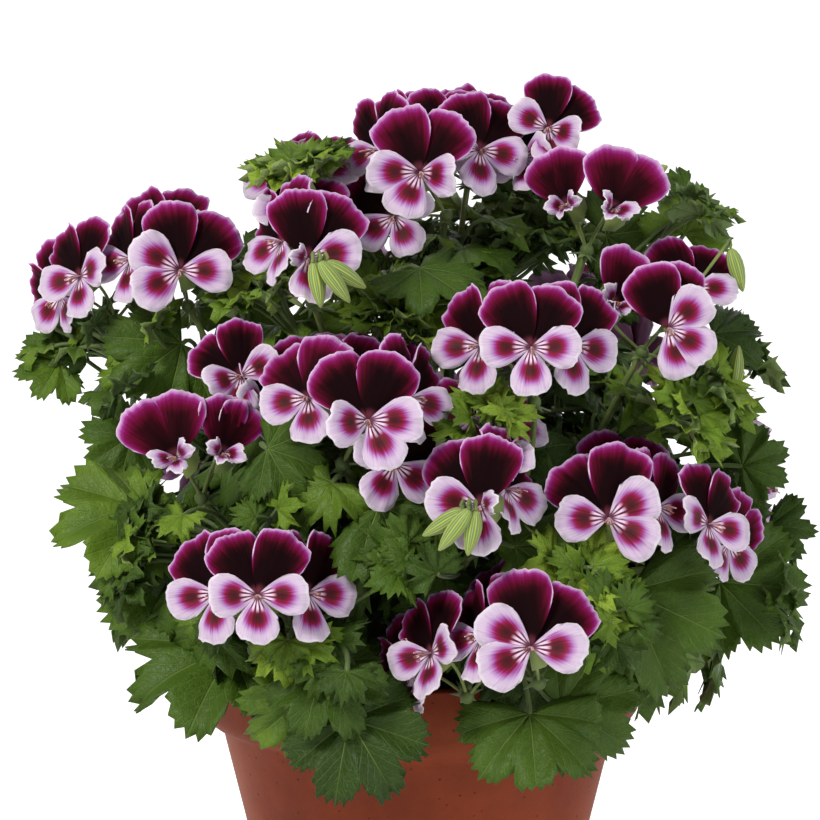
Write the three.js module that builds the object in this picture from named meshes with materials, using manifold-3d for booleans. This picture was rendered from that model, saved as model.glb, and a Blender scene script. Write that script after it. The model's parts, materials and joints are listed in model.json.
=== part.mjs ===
// A potted angel pelargonium: a terracotta pot, its soil, leafy shoots that stand in it, and
// heads of two-coloured blooms. Millimetres, +Z up, the origin at the middle of the pot's base.
import * as THREE from 'three';
import Module from 'manifold-3d';
import { mergeVertices } from 'three/addons/utils/BufferGeometryUtils.js';

const wasm = await Module();
wasm.setup();

const rad = THREE.MathUtils.degToRad;
const vec = (x, y, z) => new THREE.Vector3(x, y, z);
const UP = vec(0, 0, 1);

// Driving dimensions. CLEAR is the gap between two pieces that touch on the real plant.
const CLEAR = 0.3;
const POT = { height: 132, rim: 80, base: 44, neck: 69.6, collar: 27, wall: 6, floor: 8, sides: 24 };
const SOIL_TOP = 118;
const SHOOT = { radius: 2, branch: 1.6, sides: 5, depth: 24 };
const PEDUNCLE = { radius: 1.2, sides: 4, umbel: 2.8 };
const PEDICEL = { calyx: 1.3, radius: 0.7, foot: 0.55 };

// A petal's ladder is the rungs of its outline: [share of its length, share of its half width].
// An upper petal ends in a tip and twists, so that the left one lies over the right one.
const PETAL = {
  upper: { length: 21.6, half: 8.7, ladder: [[0.52, 0.9], [0.86, 0.86]], tip: true, twist: 7 },
  lower: { length: 16, half: 6.7, ladder: [[0.5, 0.94], [0.97, 0.62]], tip: false, twist: 0 },
  thick: 0.7,
  throat: 1.7,
};

// ruffle and droop are shares of a leaf's length, choices is how many shoots a leaf may grow
// from, and gap is how far it stays from what it doesn't touch.
const LEAF = { thick: 0.8, petiole: 0.8, ruffle: 0.07, droop: 0.16, choices: 3, gap: 0.2 };
const BUD = { length: 14, radius: 2.6 };
const GOLDEN_ANGLE = 137.508;

// The plant's crown is a dome: its middle and its half sizes to the left, to the back and up.
const CROWN = { middle: vec(0, 0, 165), half: vec(124, 116, 150) };

// The photograph's view: its eye, its pitch down, the middle of the picture in its 820 pixels,
// and the pixels that one unit of slope covers.
const VIEW = { eye: vec(-2.9, -1045.6, 345.2), pitch: rad(7.1), middle: 410, focal: 3012 };
const AHEAD = vec(0, Math.cos(VIEW.pitch), -Math.sin(VIEW.pitch));
const SKYWARD = vec(0, Math.sin(VIEW.pitch), Math.cos(VIEW.pitch));

// The place that shows at a pixel of the photograph, at depth y.
function spot([px, py], y) {
  const ray = AHEAD.clone()
    .addScaledVector(vec(1, 0, 0), (px - VIEW.middle) / VIEW.focal)
    .addScaledVector(SKYWARD, (VIEW.middle - py) / VIEW.focal);
  return VIEW.eye.clone().addScaledVector(ray, (y - VIEW.eye.y) / ray.y);
}

// How a bloom's five petals stand: the clock angle of each (upper left, upper right, right,
// bottom, left) and how far it leans out of the bloom's face, in degrees.
const FORMS = {
  open: { turn: [-30, 30, 90, 180, 270], lean: [-6, -6, 20, 22, 20] },
  swept: { turn: [-13, 45, 92, 237, 300], lean: [-4, -10, 22, 24, 20] },
  tucked: { turn: [-12, 38, 80, 180, 285], lean: [-4, -8, 18, 40, 66] },
  raised: { turn: [-24, 36, 100, 207, 270], lean: [-6, -4, 52, 24, 20] },
  leant: { turn: [0, 58, 110, 178, 295], lean: [-4, -8, 40, 30, 20] },
  furled: { turn: [-24, 24, 84, 180, 276], lean: [12, 18, 62, 66, 62] },
  folded: { turn: [-15, 15, 80, 180, 280], lean: [8, 14, 64, 68, 64] },
  fan: { turn: [-24, 12, 47, 122, 163], lean: [10, 0, 20, 22, 16] },
};

// The heads that the photograph shows in its upper half. Each has its umbel at [px, py, y], and
// blooms at [px, py, y, yaw, pitch, roll, size, form] and drooping buds whose tips are [px, py, y].
const UPPER_HEADS = {
  far_left: {
    umbel: [116, 320, -10],
    blooms: [
      [80, 276, -24, -44, 4, -16, 0.95, 'open'],
      [60, 296, -6, -50, -12, -44, 0.9, 'open'],
      [131, 259, -30, -52, 6, -12, 0.95, 'open'],
    ],
  },
  left: {
    umbel: [188, 306, -14],
    blooms: [
      [180, 270, -44, -4, 2, 0, 1.12, 'swept'],
      [166, 236, -8, -10, 28, -10, 1, 'open'],
    ],
  },
  inner_left: {
    umbel: [312, 302, -46],
    blooms: [
      [308, 258, -76, 8, 0, 0, 1.08, 'tucked'],
      [282, 241, -60, -54, 8, -28, 1.02, 'open'],
      [300, 216, -44, -8, 42, 0, 0.95, 'open'],
    ],
    buds: [[320, 300, -84], [356, 298, -80]],
  },
  crest: {
    umbel: [446, 216, -10],
    blooms: [
      [420, 172, -44, 0, 2, 0, 1.08, 'raised'],
      [379, 150, -26, -50, 4, -18, 0.95, 'open'],
      [394, 216, -22, -14, -4, -34, 0.98, 'open'],
    ],
  },
  crest_back: {
    umbel: [468, 182, 11],
    blooms: [
      [480, 150, -27, 24, 12, 14, 1, 'open'],
      [446, 138, -13, 4, 28, 0, 1, 'open'],
      [404, 137, -1, -24, 26, -12, 1, 'open'],
      [480, 128, 7, 16, 40, 8, 1, 'open'],
    ],
  },
  crest_left: {
    umbel: [330, 214, 6],
    blooms: [
      [316, 172, -14, -4, 42, 2, 1, 'open'],
      [280, 178, -2, -44, 30, -22, 0.9, 'open'],
    ],
  },
  right_top: {
    umbel: [587, 250, -22],
    blooms: [
      [548, 128, -22, 0, 8, 0, 0.9, 'leant'],
      [523, 158, -20, -34, 10, -24, 0.8, 'open'],
      [567, 206, -38, -14, 8, -18, 0.92, 'folded'],
      [612, 210, -42, 14, 10, 22, 1.02, 'furled'],
    ],
    buds: [[668, 166, -14]],
  },
  middle: {
    umbel: [534, 402, -74],
    blooms: [
      [531, 347, -100, 0, 0, 0, 1, 'open'],
      [481, 345, -86, -34, 4, -6, 1, 'open'],
      [572, 345, -86, 34, 0, 10, 1, 'open'],
    ],
  },
};

// The one head that the photograph shows only once.
const RIGHT_HEAD = {
  umbel: [642, 352, -40],
  blooms: [
    [612, 305, -54, 26, 14, 44, 0.95, 'furled'],
    [668, 328, -66, 14, 0, 0, 1.05, 'fan'],
    [692, 288, -42, 24, 30, 10, 0.95, 'open'],
  ],
  buds: [[738, 290, -30]],
};

// The lower half of the photograph shows the same heads turned left to right and moved down,
// nearer to the eye: how much nearer each one is.
const MIRROR = { sum: 788.5, down: 248 };
const MIRRORED = {
  far_left: -48,
  left: -51,
  inner_left: -42,
  crest: -71,
  crest_back: -66.5,
  crest_left: -56,
  right_top: -41,
  middle: -18,
};

// The two left heads show once more, at the front, unturned.
const COPIED = { right: 351, down: 377, nearer: { far_left: -79, left: -85 } };

function mirrored(head, nearer) {
  const place = ([px, py, y, ...rest]) => [MIRROR.sum - px, py + MIRROR.down, y + nearer, ...rest];
  const bloom = (row) => {
    const [px, py, y, yaw, pitch, roll, size, form] = place(row);
    return [px, py, y, -yaw, pitch, -roll, size, form];
  };
  return {
    turned: true,
    umbel: place(head.umbel),
    blooms: head.blooms.map(bloom),
    buds: (head.buds ?? []).map(place),
  };
}

function copied(head, nearer) {
  const place = ([px, py, y, ...rest]) => [px + COPIED.right, py + COPIED.down, y + nearer, ...rest];
  return { umbel: place(head.umbel), blooms: head.blooms.map(place), buds: [] };
}

// The heads that the photograph doesn't show, at the sides and the back: the compass angle and
// the height angle of each on the crown, and how many blooms it has.
const HIDDEN_HEADS = {
  side_left: [140, 14, 3],
  back_left: [114, 42, 3],
  back: [80, 20, 3],
  back_right: [44, 34, 3],
  side_right: [6, 14, 3],
};
const HIDDEN = { umbel: 0.72, reach: 30, spread: 17, tilt: 0.5 };

// A shoot stands in the soil at [x, y]; its first head is on its tip, and the next ones are on
// branches. The numbers are the angle at which the stalk comes up to its head, and how far it
// goes straight before it bends, as a share of its reach.
const SHOOTS = [
  { name: 'far_left', foot: [-42, -6], heads: [['left', 62], ['far_left', 50]] },
  { name: 'inner_left', foot: [-20, -22], heads: [['inner_left', 60]] },
  { name: 'crest', foot: [2, -12], heads: [['crest', 78]] },
  { name: 'crest_back', foot: [10, 10], heads: [['crest_back', 80], ['crest_left', 60]] },
  { name: 'right_top', foot: [26, -6], heads: [['right_top', 70]] },
  { name: 'middle', foot: [14, -32], heads: [['middle', 95]] },
  { name: 'right', foot: [44, -14], heads: [['right', 60]] },
  { name: 'low_right', foot: [46, -32], heads: [['left_low', 20], ['far_left_low', 8]] },
  {
    name: 'low_front',
    foot: [22, -52],
    heads: [['left_front', -20, 0.75], ['far_left_front', -20, 0.5]],
  },
  { name: 'front', foot: [6, -46], heads: [['inner_left_low', 20], ['crest_left_low', 40]] },
  { name: 'front_left', foot: [-12, -42], heads: [['crest_low', 40], ['crest_back_low', 55]] },
  { name: 'low_left', foot: [-40, -30], heads: [['right_top_low', 44]] },
  { name: 'low_front_left', foot: [-26, -52], heads: [['middle_low', -10, 0.6]] },
  { name: 'side_left', foot: [-44, 22], heads: [['side_left', 30], ['back_left', 60]] },
  { name: 'back', foot: [-4, 42], heads: [['back', 40]] },
  { name: 'side_right', foot: [46, 18], heads: [['side_right', 30], ['back_right', 60]] },
];

// Where a stalk ends and its head's own stem starts, where it branches and from where it bears
// leaves, as shares of its way.
const STALK = {
  straight: 0.42,
  arrive: 0.36,
  tipCut: 0.74,
  branchFrom: 0.42,
  branchCut: 0.5,
  leavesFrom: 0.1,
  branchLeavesFrom: 0.2,
  steps: 5,
  branchSteps: 3,
};

// Leaf outlines, from the right corner to the tip: [clock angle, share of the length]. The left
// half is the same.
const OUTLINES = {
  large: [
    [124, 0.5], [102, 0.86], [86, 0.88], [66, 0.72], [50, 0.97], [34, 0.99], [20, 0.79], [7, 1.03],
  ],
  small: [[120, 0.56], [84, 0.94], [62, 0.72], [42, 1], [20, 0.78], [0, 1.04]],
};

// Leaves that the photograph shows: the pixel of the junction and its depth, the pixel of the
// middle lobe's tip and its depth, how far the blade rolls about its midrib, and its outline.
const SHOWN_LEAVES = [
  [[232, 650], -66, [137, 676], -80, 28, 'large'],
  [[202, 572], -50, [108, 596], -66, -10, 'large'],
  [[142, 508], -36, [62, 522], -48, 20, 'large'],
  [[322, 670], -98, [352, 722], -112, 0, 'large'],
  [[302, 698], -92, [258, 742], -96, -30, 'small'],
  [[352, 726], -94, [392, 792], -106, 6, 'large'],
  [[530, 714], -94, [536, 780], -114, 0, 'large'],
  [[560, 706], -88, [636, 690], -88, 16, 'large'],
  [[627, 586], -84, [724, 618], -92, 8, 'large'],
  [[720, 582], -36, [802, 588], -42, 14, 'large'],
  [[262, 440], -90, [284, 492], -98, 10, 'large'],
  [[325, 476], -84, [326, 556], -94, 0, 'large'],
  [[182, 344], -20, [122, 384], -32, -10, 'large'],
  [[684, 234], -14, [698, 188], -10, 0, 'small'],
  [[712, 334], -14, [760, 352], -20, -20, 'large'],
  [[742, 466], -34, [784, 448], -36, 10, 'small'],
  [[748, 502], -40, [778, 530], -50, 10, 'small'],
  [[60, 362], -4, [18, 372], -10, 14, 'small'],
  [[72, 350], 2, [44, 312], 6, 0, 'small'],
  [[676, 450], -66, [658, 412], -68, 0, 'large'],
  [[606, 236], -8, [660, 226], -8, 10, 'small'],
  [[508, 530], -100, [548, 562], -112, 0, 'small'],
  [[386, 258], 14, [362, 304], 8, 0, 'small'],
  [[440, 262], 24, [456, 312], 18, 10, 'small'],
  [[244, 296], 8, [226, 346], 2, -10, 'small'],
  [[494, 216], 24, [536, 238], 24, 0, 'small'],
  [[552, 232], 18, [520, 198], 22, 8, 'small'],
  [[596, 276], 18, [642, 296], 10, 0, 'small'],
  [[688, 404], -12, [738, 384], -16, 10, 'small'],
  [[700, 452], -24, [744, 424], -26, 0, 'small'],
  [[664, 496], -34, [640, 544], -42, 0, 'small'],
  [[716, 522], -24, [766, 506], -28, 12, 'small'],
  [[304, 326], 14, [326, 378], 6, 0, 'small'],
  [[132, 436], -2, [90, 462], -8, -8, 'small'],
  [[222, 366], -10, [182, 398], -18, 0, 'small'],
];

// The other leaves stand all over the crown in a sunflower's spiral.
const CROWN_LEAVES = { count: 40, from: -12, to: 80, largest: 30, smallest: 20, share: 0.86 };

// Ways in which a leaf bends clear of what stands in its way: a turn in degrees, and a move
// along its face in millimetres.
const BENDS = [
  [0, 0], [0, -7], [24, -4], [-24, -4], [0, 7], [48, -10], [-48, -10], [85, -14], [-85, -14],
  [0, -22], [40, -26], [-40, -26], [0, -40],
];

// A closed surface under construction: points, and triangles whose corners turn left seen from
// outside.
class Shell {
  points = [];
  faces = [];

  add(point) {
    this.points.push(point.x, point.y, point.z);
    return this.points.length / 3 - 1;
  }

  face(a, b, c) {
    this.faces.push(a, b, c);
  }

  solid() {
    return new wasm.Manifold(new wasm.Mesh({
      numProp: 3,
      vertProperties: new Float32Array(this.points),
      triVerts: new Uint32Array(this.faces),
    }));
  }
}

// The points round a centre at the given angles from x towards y.
function ring(shell, centre, x, y, radius, angles) {
  return angles.map((angle) => shell.add(centre.clone()
    .addScaledVector(x, radius * Math.cos(rad(angle)))
    .addScaledVector(y, radius * Math.sin(rad(angle)))));
}

// The band of triangles from one ring to the next, which may have fewer points.
function zip(shell, near, nearAngles, far, farAngles) {
  const angleOf = (angles, i) => angles[i % angles.length] + 360 * Math.floor(i / angles.length);
  let i = 0;
  let j = 0;
  while (i < near.length || j < far.length) {
    const nextNear = i < near.length ? angleOf(nearAngles, i + 1) : Infinity;
    const nextFar = j < far.length ? angleOf(farAngles, j + 1) : Infinity;
    const a = near[i % near.length];
    const b = far[j % far.length];
    if (nextNear <= nextFar) {
      shell.face(a, near[(i + 1) % near.length], b);
      i += 1;
    } else {
      shell.face(a, far[(j + 1) % far.length], b);
      j += 1;
    }
  }
}

// A thin stalk that starts on an open ring and bends to its foot. x and y are across the ring,
// and the stalk sets off along x cross y. rings are [share of the way, radius].
function stalk(shell, start, startAngles, from, bend, foot, x, y, rings) {
  const path = new THREE.QuadraticBezierCurve3(from, bend, foot);
  const angles = [0, 120, 240].map((angle) => angle + startAngles[0] + 12);
  let along = x.clone().cross(y);
  let [across, over] = [x.clone(), y.clone()];
  let [last, lastAngles] = [start, startAngles];
  for (const [share, radius] of rings) {
    const ahead = path.getTangent(share);
    const turn = new THREE.Quaternion().setFromUnitVectors(along.clone().normalize(), ahead);
    across.applyQuaternion(turn);
    over.applyQuaternion(turn);
    along = ahead;
    const next = ring(shell, path.getPoint(share), across, over, radius, angles);
    zip(shell, last, lastAngles, next, angles);
    [last, lastAngles] = [next, angles];
  }
  shell.face(...last);
}

// One petal: rungs of a ladder from the throat outwards, the back a petal's thickness behind.
// Its edges are walled, apart from the root, where it grows out of the throat's rim.
function petal(shell, bloom, root, angle, lean, kind) {
  const [c, s] = [Math.cos(rad(angle)), Math.sin(rad(angle))];
  const out = bloom.u.clone().multiplyScalar(c).addScaledVector(bloom.r, s);
  const side = bloom.u.clone().multiplyScalar(-s).addScaledVector(bloom.r, c);
  const [cl, sl] = [Math.cos(rad(lean)), Math.sin(rad(lean))];
  const along = out.clone().multiplyScalar(cl).addScaledVector(bloom.f, sl);
  const face = bloom.f.clone().multiplyScalar(cl).addScaledVector(out, -sl);
  const twist = rad(kind.twist) * bloom.hand;
  const across = side.clone().multiplyScalar(Math.cos(twist)).addScaledVector(face, Math.sin(twist));
  const front = { left: [root.left], right: [root.right] };
  const back = { left: [root.leftBack], right: [root.rightBack] };
  for (const [share, width] of kind.ladder) {
    const middle = bloom.p.clone().addScaledVector(along, kind.length * share * bloom.size);
    const half = kind.half * width * bloom.size;
    for (const [key, sign] of [['left', -1], ['right', 1]]) {
      const point = middle.clone().addScaledVector(across, sign * half);
      front[key].push(shell.add(point));
      back[key].push(shell.add(point.addScaledVector(face, -PETAL.thick)));
    }
  }
  const last = kind.ladder.length;
  for (let k = 0; k < last; k += 1) {
    const [l, r, l2, r2] = [front.left[k], front.right[k], front.left[k + 1], front.right[k + 1]];
    const [lb, rb, lb2, rb2] = [back.left[k], back.right[k], back.left[k + 1], back.right[k + 1]];
    shell.face(l, r, r2);
    shell.face(l, r2, l2);
    shell.face(lb, rb2, rb);
    shell.face(lb, lb2, rb2);
    shell.face(r2, r, rb);
    shell.face(r2, rb, rb2);
    shell.face(l, l2, lb2);
    shell.face(l, lb2, lb);
  }
  const [l, r, lb, rb] = [front.left[last], front.right[last], back.left[last], back.right[last]];
  if (!kind.tip) {
    shell.face(l, r, rb);
    shell.face(l, rb, lb);
    return;
  }
  const end = bloom.p.clone().addScaledVector(along, kind.length * bloom.size);
  const tip = shell.add(end);
  const tipBack = shell.add(end.addScaledVector(face, -PETAL.thick));
  shell.face(l, r, tip);
  shell.face(lb, tipBack, rb);
  shell.face(tip, r, rb);
  shell.face(tip, rb, tipBack);
  shell.face(l, tip, tipBack);
  shell.face(l, tipBack, lb);
}

// A bloom with its calyx and pedicel in one closed body: five petals on the rim of a throat.
function bloomSolid(bloom, umbel) {
  const shell = new Shell();
  const { turn, lean } = bloom.form;
  const between = turn.map((angle, i) => (angle + (i < 4 ? turn[i + 1] : turn[0] + 360)) / 2);
  const radius = PETAL.throat * bloom.size;
  const back = bloom.p.clone().addScaledVector(bloom.f, -PETAL.thick);
  const rim = ring(shell, bloom.p, bloom.u, bloom.r, radius, between);
  const rimBack = ring(shell, back, bloom.u, bloom.r, radius, between);
  turn.forEach((angle, i) => {
    const left = (i + 4) % 5;
    const root = { left: rim[left], right: rim[i], leftBack: rimBack[left], rightBack: rimBack[i] };
    petal(shell, bloom, root, angle, lean[i], i < 2 ? PETAL.upper : PETAL.lower);
  });
  for (let i = 1; i < 4; i += 1) shell.face(rim[0], rim[i + 1], rim[i]);
  const reach = back.distanceTo(umbel);
  const bend = back.clone().addScaledVector(bloom.f, -0.45 * reach);
  const foot = umbel.clone().lerp(bend, (PEDUNCLE.umbel * 0.5) / umbel.distanceTo(bend));
  const rings = [[0.3, PEDICEL.calyx], [1, PEDICEL.foot]];
  stalk(shell, rimBack, between, back, bend, foot, bloom.u, bloom.r, rings);
  return shell.solid();
}

// A closed bud on its own pedicel, four-sided, hanging from the umbel.
function budSolid(tip, umbel) {
  const shell = new Shell();
  const hook = umbel.clone().lerp(tip, 0.45).addScaledVector(UP, 0.35 * umbel.distanceTo(tip));
  const path = new THREE.QuadraticBezierCurve3(umbel, hook, tip);
  const base = 1 - Math.min(0.6, BUD.length / path.getLength());
  const angles = [0, 90, 180, 270];
  const rungs = [[0, PEDICEL.radius], [base * 0.55, PEDICEL.radius], [base, BUD.radius * 0.8],
    [(1 + base) / 2, BUD.radius], [1, 0.4]];
  const along = path.getTangent(0);
  const x = new THREE.Vector3().crossVectors(along, vec(0, 1, 0)).normalize();
  const y = along.clone().cross(x);
  let last = null;
  let before = along;
  for (const [share, radius] of rungs) {
    const ahead = path.getTangent(share);
    const turn = new THREE.Quaternion().setFromUnitVectors(before, ahead);
    x.applyQuaternion(turn);
    y.applyQuaternion(turn);
    before = ahead;
    const next = ring(shell, path.getPoint(share), x, y, radius, angles);
    if (last) zip(shell, last, angles, next, angles);
    else {
      shell.face(next[0], next[3], next[2]);
      shell.face(next[0], next[2], next[1]);
    }
    last = next;
  }
  shell.face(last[0], last[1], last[2]);
  shell.face(last[0], last[2], last[3]);
  return shell.solid();
}

// A three.js geometry as a solid: only its places are kept, and corners in one place are merged.
function solidOf(geometry) {
  geometry.deleteAttribute('normal');
  geometry.deleteAttribute('uv');
  const merged = mergeVertices(geometry, 1e-4);
  const index = merged.index.array;
  const faces = [];
  for (let i = 0; i < index.length; i += 3) {
    const [a, b, c] = [index[i], index[i + 1], index[i + 2]];
    if (a !== b && b !== c && c !== a) faces.push(a, b, c);
  }
  return new wasm.Manifold(new wasm.Mesh({
    numProp: 3,
    vertProperties: merged.attributes.position.array,
    triVerts: new Uint32Array(faces),
  }));
}

// A round cane along a curve.
function cane(points, radius, sides, steps) {
  const section = new THREE.Shape(Array.from({ length: sides }, (_, i) => {
    const angle = (2 * Math.PI * i) / sides;
    return new THREE.Vector2(radius * Math.cos(angle), radius * Math.sin(angle));
  }));
  const path = new THREE.CatmullRomCurve3(points);
  return solidOf(new THREE.ExtrudeGeometry(section, { steps, extrudePath: path, bevelEnabled: false }));
}

// A solid turned about +Z from a profile of [radius, height] points, counter-clockwise.
function turned(profile, sides) {
  const points = profile.map(([r, z]) => new THREE.Vector2(r, z));
  return solidOf(new THREE.LatheGeometry(points, sides).rotateX(Math.PI / 2));
}

function potSolid() {
  const { height, rim, base, neck, collar, wall, floor } = POT;
  const foot = height - collar;
  const outerAt = (z) => base + ((neck - base) * z) / foot;
  return turned([
    [0, 0], [base - 1.5, 0], [outerAt(1.5), 1.5], [neck, foot], [neck + 5, foot + 3.2],
    [rim - 1.6, foot + 9], [rim, height - 1.2], [rim - 1, height], [rim - wall, height],
    [rim - wall - 1, height - 1.5], [outerAt(foot) - wall, foot - 2], [outerAt(floor) - wall, floor],
    [0, floor],
  ], POT.sides);
}

// The soil fills the pot to below its rim, and has a plain hole for each shoot.
function soilSolid() {
  const { height, rim, base, neck, collar, wall, floor } = POT;
  const foot = height - collar;
  const low = base + ((neck - base) * floor) / foot - wall;
  const [kneeR, kneeZ] = [neck - wall, foot - 2];
  const topR = kneeR + ((rim - wall - 1 - kneeR) * (SOIL_TOP - kneeZ)) / (height - 1.5 - kneeZ);
  const soil = turned([
    [0, floor + CLEAR], [low - 1.5 * CLEAR, floor + CLEAR], [kneeR - 1.5 * CLEAR, kneeZ],
    [topR - 1.5 * CLEAR, SOIL_TOP], [0, SOIL_TOP + 1],
  ], POT.sides);
  const holeR = (SHOOT.radius + CLEAR) / Math.cos(Math.PI / SHOOT.sides);
  const depth = SHOOT.depth + CLEAR;
  const holes = SHOOTS.map(({ foot: [x, y] }) => solidOf(
    new THREE.CylinderGeometry(holeR, holeR, depth + 10, SHOOT.sides)
      .rotateX(Math.PI / 2)
      .translate(x, y, SOIL_TOP - depth / 2 + 5),
  ));
  return soil.subtract(wasm.Manifold.union(holes));
}

// Two directions at right angles, turned together from the first towards the second.
function turnedPair(first, second, degrees) {
  const [c, s] = [Math.cos(rad(degrees)), Math.sin(rad(degrees))];
  return [
    first.clone().multiplyScalar(c).addScaledVector(second, s),
    second.clone().multiplyScalar(c).addScaledVector(first, -s),
  ];
}

// The frame of a photographed bloom: its place, its up and right, and the way it faces.
function photoBloom([px, py, y, yaw, pitch, roll, size, form], mirror) {
  const p = spot([px, py], y);
  const seen = VIEW.eye.clone().sub(p).normalize();
  const level = UP.clone().cross(seen).normalize();
  const upright = seen.clone().cross(level);
  const [facing, across] = turnedPair(seen, level, yaw);
  const [f, over] = turnedPair(facing, upright, pitch);
  const [u, r] = turnedPair(over, across, roll);
  const { turn, lean } = FORMS[form];
  const shape = mirror
    ? {
        turn: [-turn[1], -turn[0], 360 - turn[4], 360 - turn[3], 360 - turn[2]],
        lean: [lean[1], lean[0], lean[4], lean[3], lean[2]],
      }
    : { turn, lean };
  return { p, u, r, f, size, form: shape, hand: mirror ? -1 : 1 };
}

// A hidden head stands on the crown and its blooms look outwards, each a little to its own side.
function hiddenHead([compass, height, count]) {
  const aim = vec(
    Math.cos(rad(height)) * Math.cos(rad(compass)),
    Math.cos(rad(height)) * Math.sin(rad(compass)),
    Math.sin(rad(height)),
  );
  const umbel = CROWN.middle.clone().add(aim.clone().multiply(CROWN.half).multiplyScalar(HIDDEN.umbel));
  const level = UP.clone().cross(aim).normalize();
  const upright = aim.clone().cross(level);
  const blooms = [];
  for (let i = 0; i < count; i += 1) {
    const turn = rad(90 + (360 * i) / count + compass);
    const aside = level.clone().multiplyScalar(Math.cos(turn)).addScaledVector(upright, Math.sin(turn));
    const p = umbel.clone().addScaledVector(aim, HIDDEN.reach).addScaledVector(aside, HIDDEN.spread);
    const f = aim.clone().addScaledVector(aside, HIDDEN.tilt).normalize();
    const r = UP.clone().cross(f).normalize();
    blooms.push({ p, u: f.clone().cross(r), r, f, size: 0.98, form: FORMS.open, hand: 1 });
  }
  return { umbel, blooms, buds: [] };
}

function photoHead(head) {
  const [px, py, y] = head.umbel;
  return {
    umbel: spot([px, py], y),
    blooms: head.blooms.map((row) => photoBloom(row, head.turned)),
    buds: (head.buds ?? []).map(([bx, by, depth]) => spot([bx, by], depth)),
  };
}

const heads = new Map();
for (const [name, head] of Object.entries(UPPER_HEADS)) {
  heads.set(name, photoHead(head));
  heads.set(name + '_low', photoHead(mirrored(head, MIRRORED[name])));
}
for (const [name, nearer] of Object.entries(COPIED.nearer)) {
  heads.set(name + '_front', photoHead(copied(UPPER_HEADS[name], nearer)));
}
heads.set('right', photoHead(RIGHT_HEAD));
for (const [name, row] of Object.entries(HIDDEN_HEADS)) heads.set(name, hiddenHead(row));

// The way of a stalk from where it starts, along a first direction, up to its umbel.
function wayTo(start, first, umbel, rise, straight = STALK.straight) {
  const away = umbel.clone().sub(start);
  const reach = away.length();
  const level = vec(umbel.x, umbel.y, 0).normalize();
  const arrive = level.multiplyScalar(Math.cos(rad(rise))).addScaledVector(UP, Math.sin(rad(rise)));
  return new THREE.CubicBezierCurve3(
    start,
    start.clone().addScaledVector(first, straight * reach),
    umbel.clone().addScaledVector(arrive, -STALK.arrive * reach),
    umbel,
  );
}

// Points on a stretch of a way, from one share of it to another.
function stretch(way, from, to, steps) {
  return Array.from({ length: steps + 1 }, (_, i) => way.getPoint(from + ((to - from) * i) / steps));
}

// A stalk's two pieces: the shoot's own part, and the head's stem, which starts clear of it.
function splitWay(way, cut) {
  const gap = (1.2 * CLEAR) / way.getLength();
  return { below: stretch(way, 0, cut, STALK.steps), above: stretch(way, cut + gap, 1, 3) };
}

const shoots = SHOOTS.map((shoot) => {
  const foot = vec(shoot.foot[0], shoot.foot[1], SOIL_TOP);
  const bottom = foot.clone().addScaledVector(UP, -SHOOT.depth);
  const [[tipName, ...tipWay], ...others] = shoot.heads;
  const main = wayTo(foot, UP, heads.get(tipName).umbel, ...tipWay);
  const parts = [];
  const split = splitWay(main, STALK.tipCut);
  parts.push({ points: [bottom, ...split.below], radius: SHOOT.radius, steps: STALK.steps + 1 });
  heads.get(tipName).peduncle = split.above;
  const ways = [[main, STALK.leavesFrom, STALK.tipCut]];
  for (const [name, ...itsWay] of others) {
    const start = main.getPoint(STALK.branchFrom);
    const branch = wayTo(start, main.getTangent(STALK.branchFrom), heads.get(name).umbel, ...itsWay);
    const branchSplit = splitWay(branch, STALK.branchCut);
    parts.push({ points: branchSplit.below, radius: SHOOT.branch, steps: STALK.branchSteps });
    heads.get(name).peduncle = branchSplit.above;
    ways.push([branch, STALK.branchLeavesFrom, STALK.branchCut]);
  }
  const canes = parts.map(({ points, radius, steps }) => cane(points, radius, SHOOT.sides, steps));
  return { name: shoot.name, ways, canes: wasm.Manifold.union(canes), leaves: [] };
});

function headSolid({ umbel, blooms, buds, peduncle }) {
  const knot = new THREE.OctahedronGeometry(PEDUNCLE.umbel).translate(umbel.x, umbel.y, umbel.z);
  return wasm.Manifold.union([
    cane(peduncle, PEDUNCLE.radius, PEDUNCLE.sides, 3),
    solidOf(knot),
    ...blooms.map((bloom) => bloomSolid(bloom, umbel)),
    ...buds.map((tip) => budSolid(tip, umbel)),
  ]);
}

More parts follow.
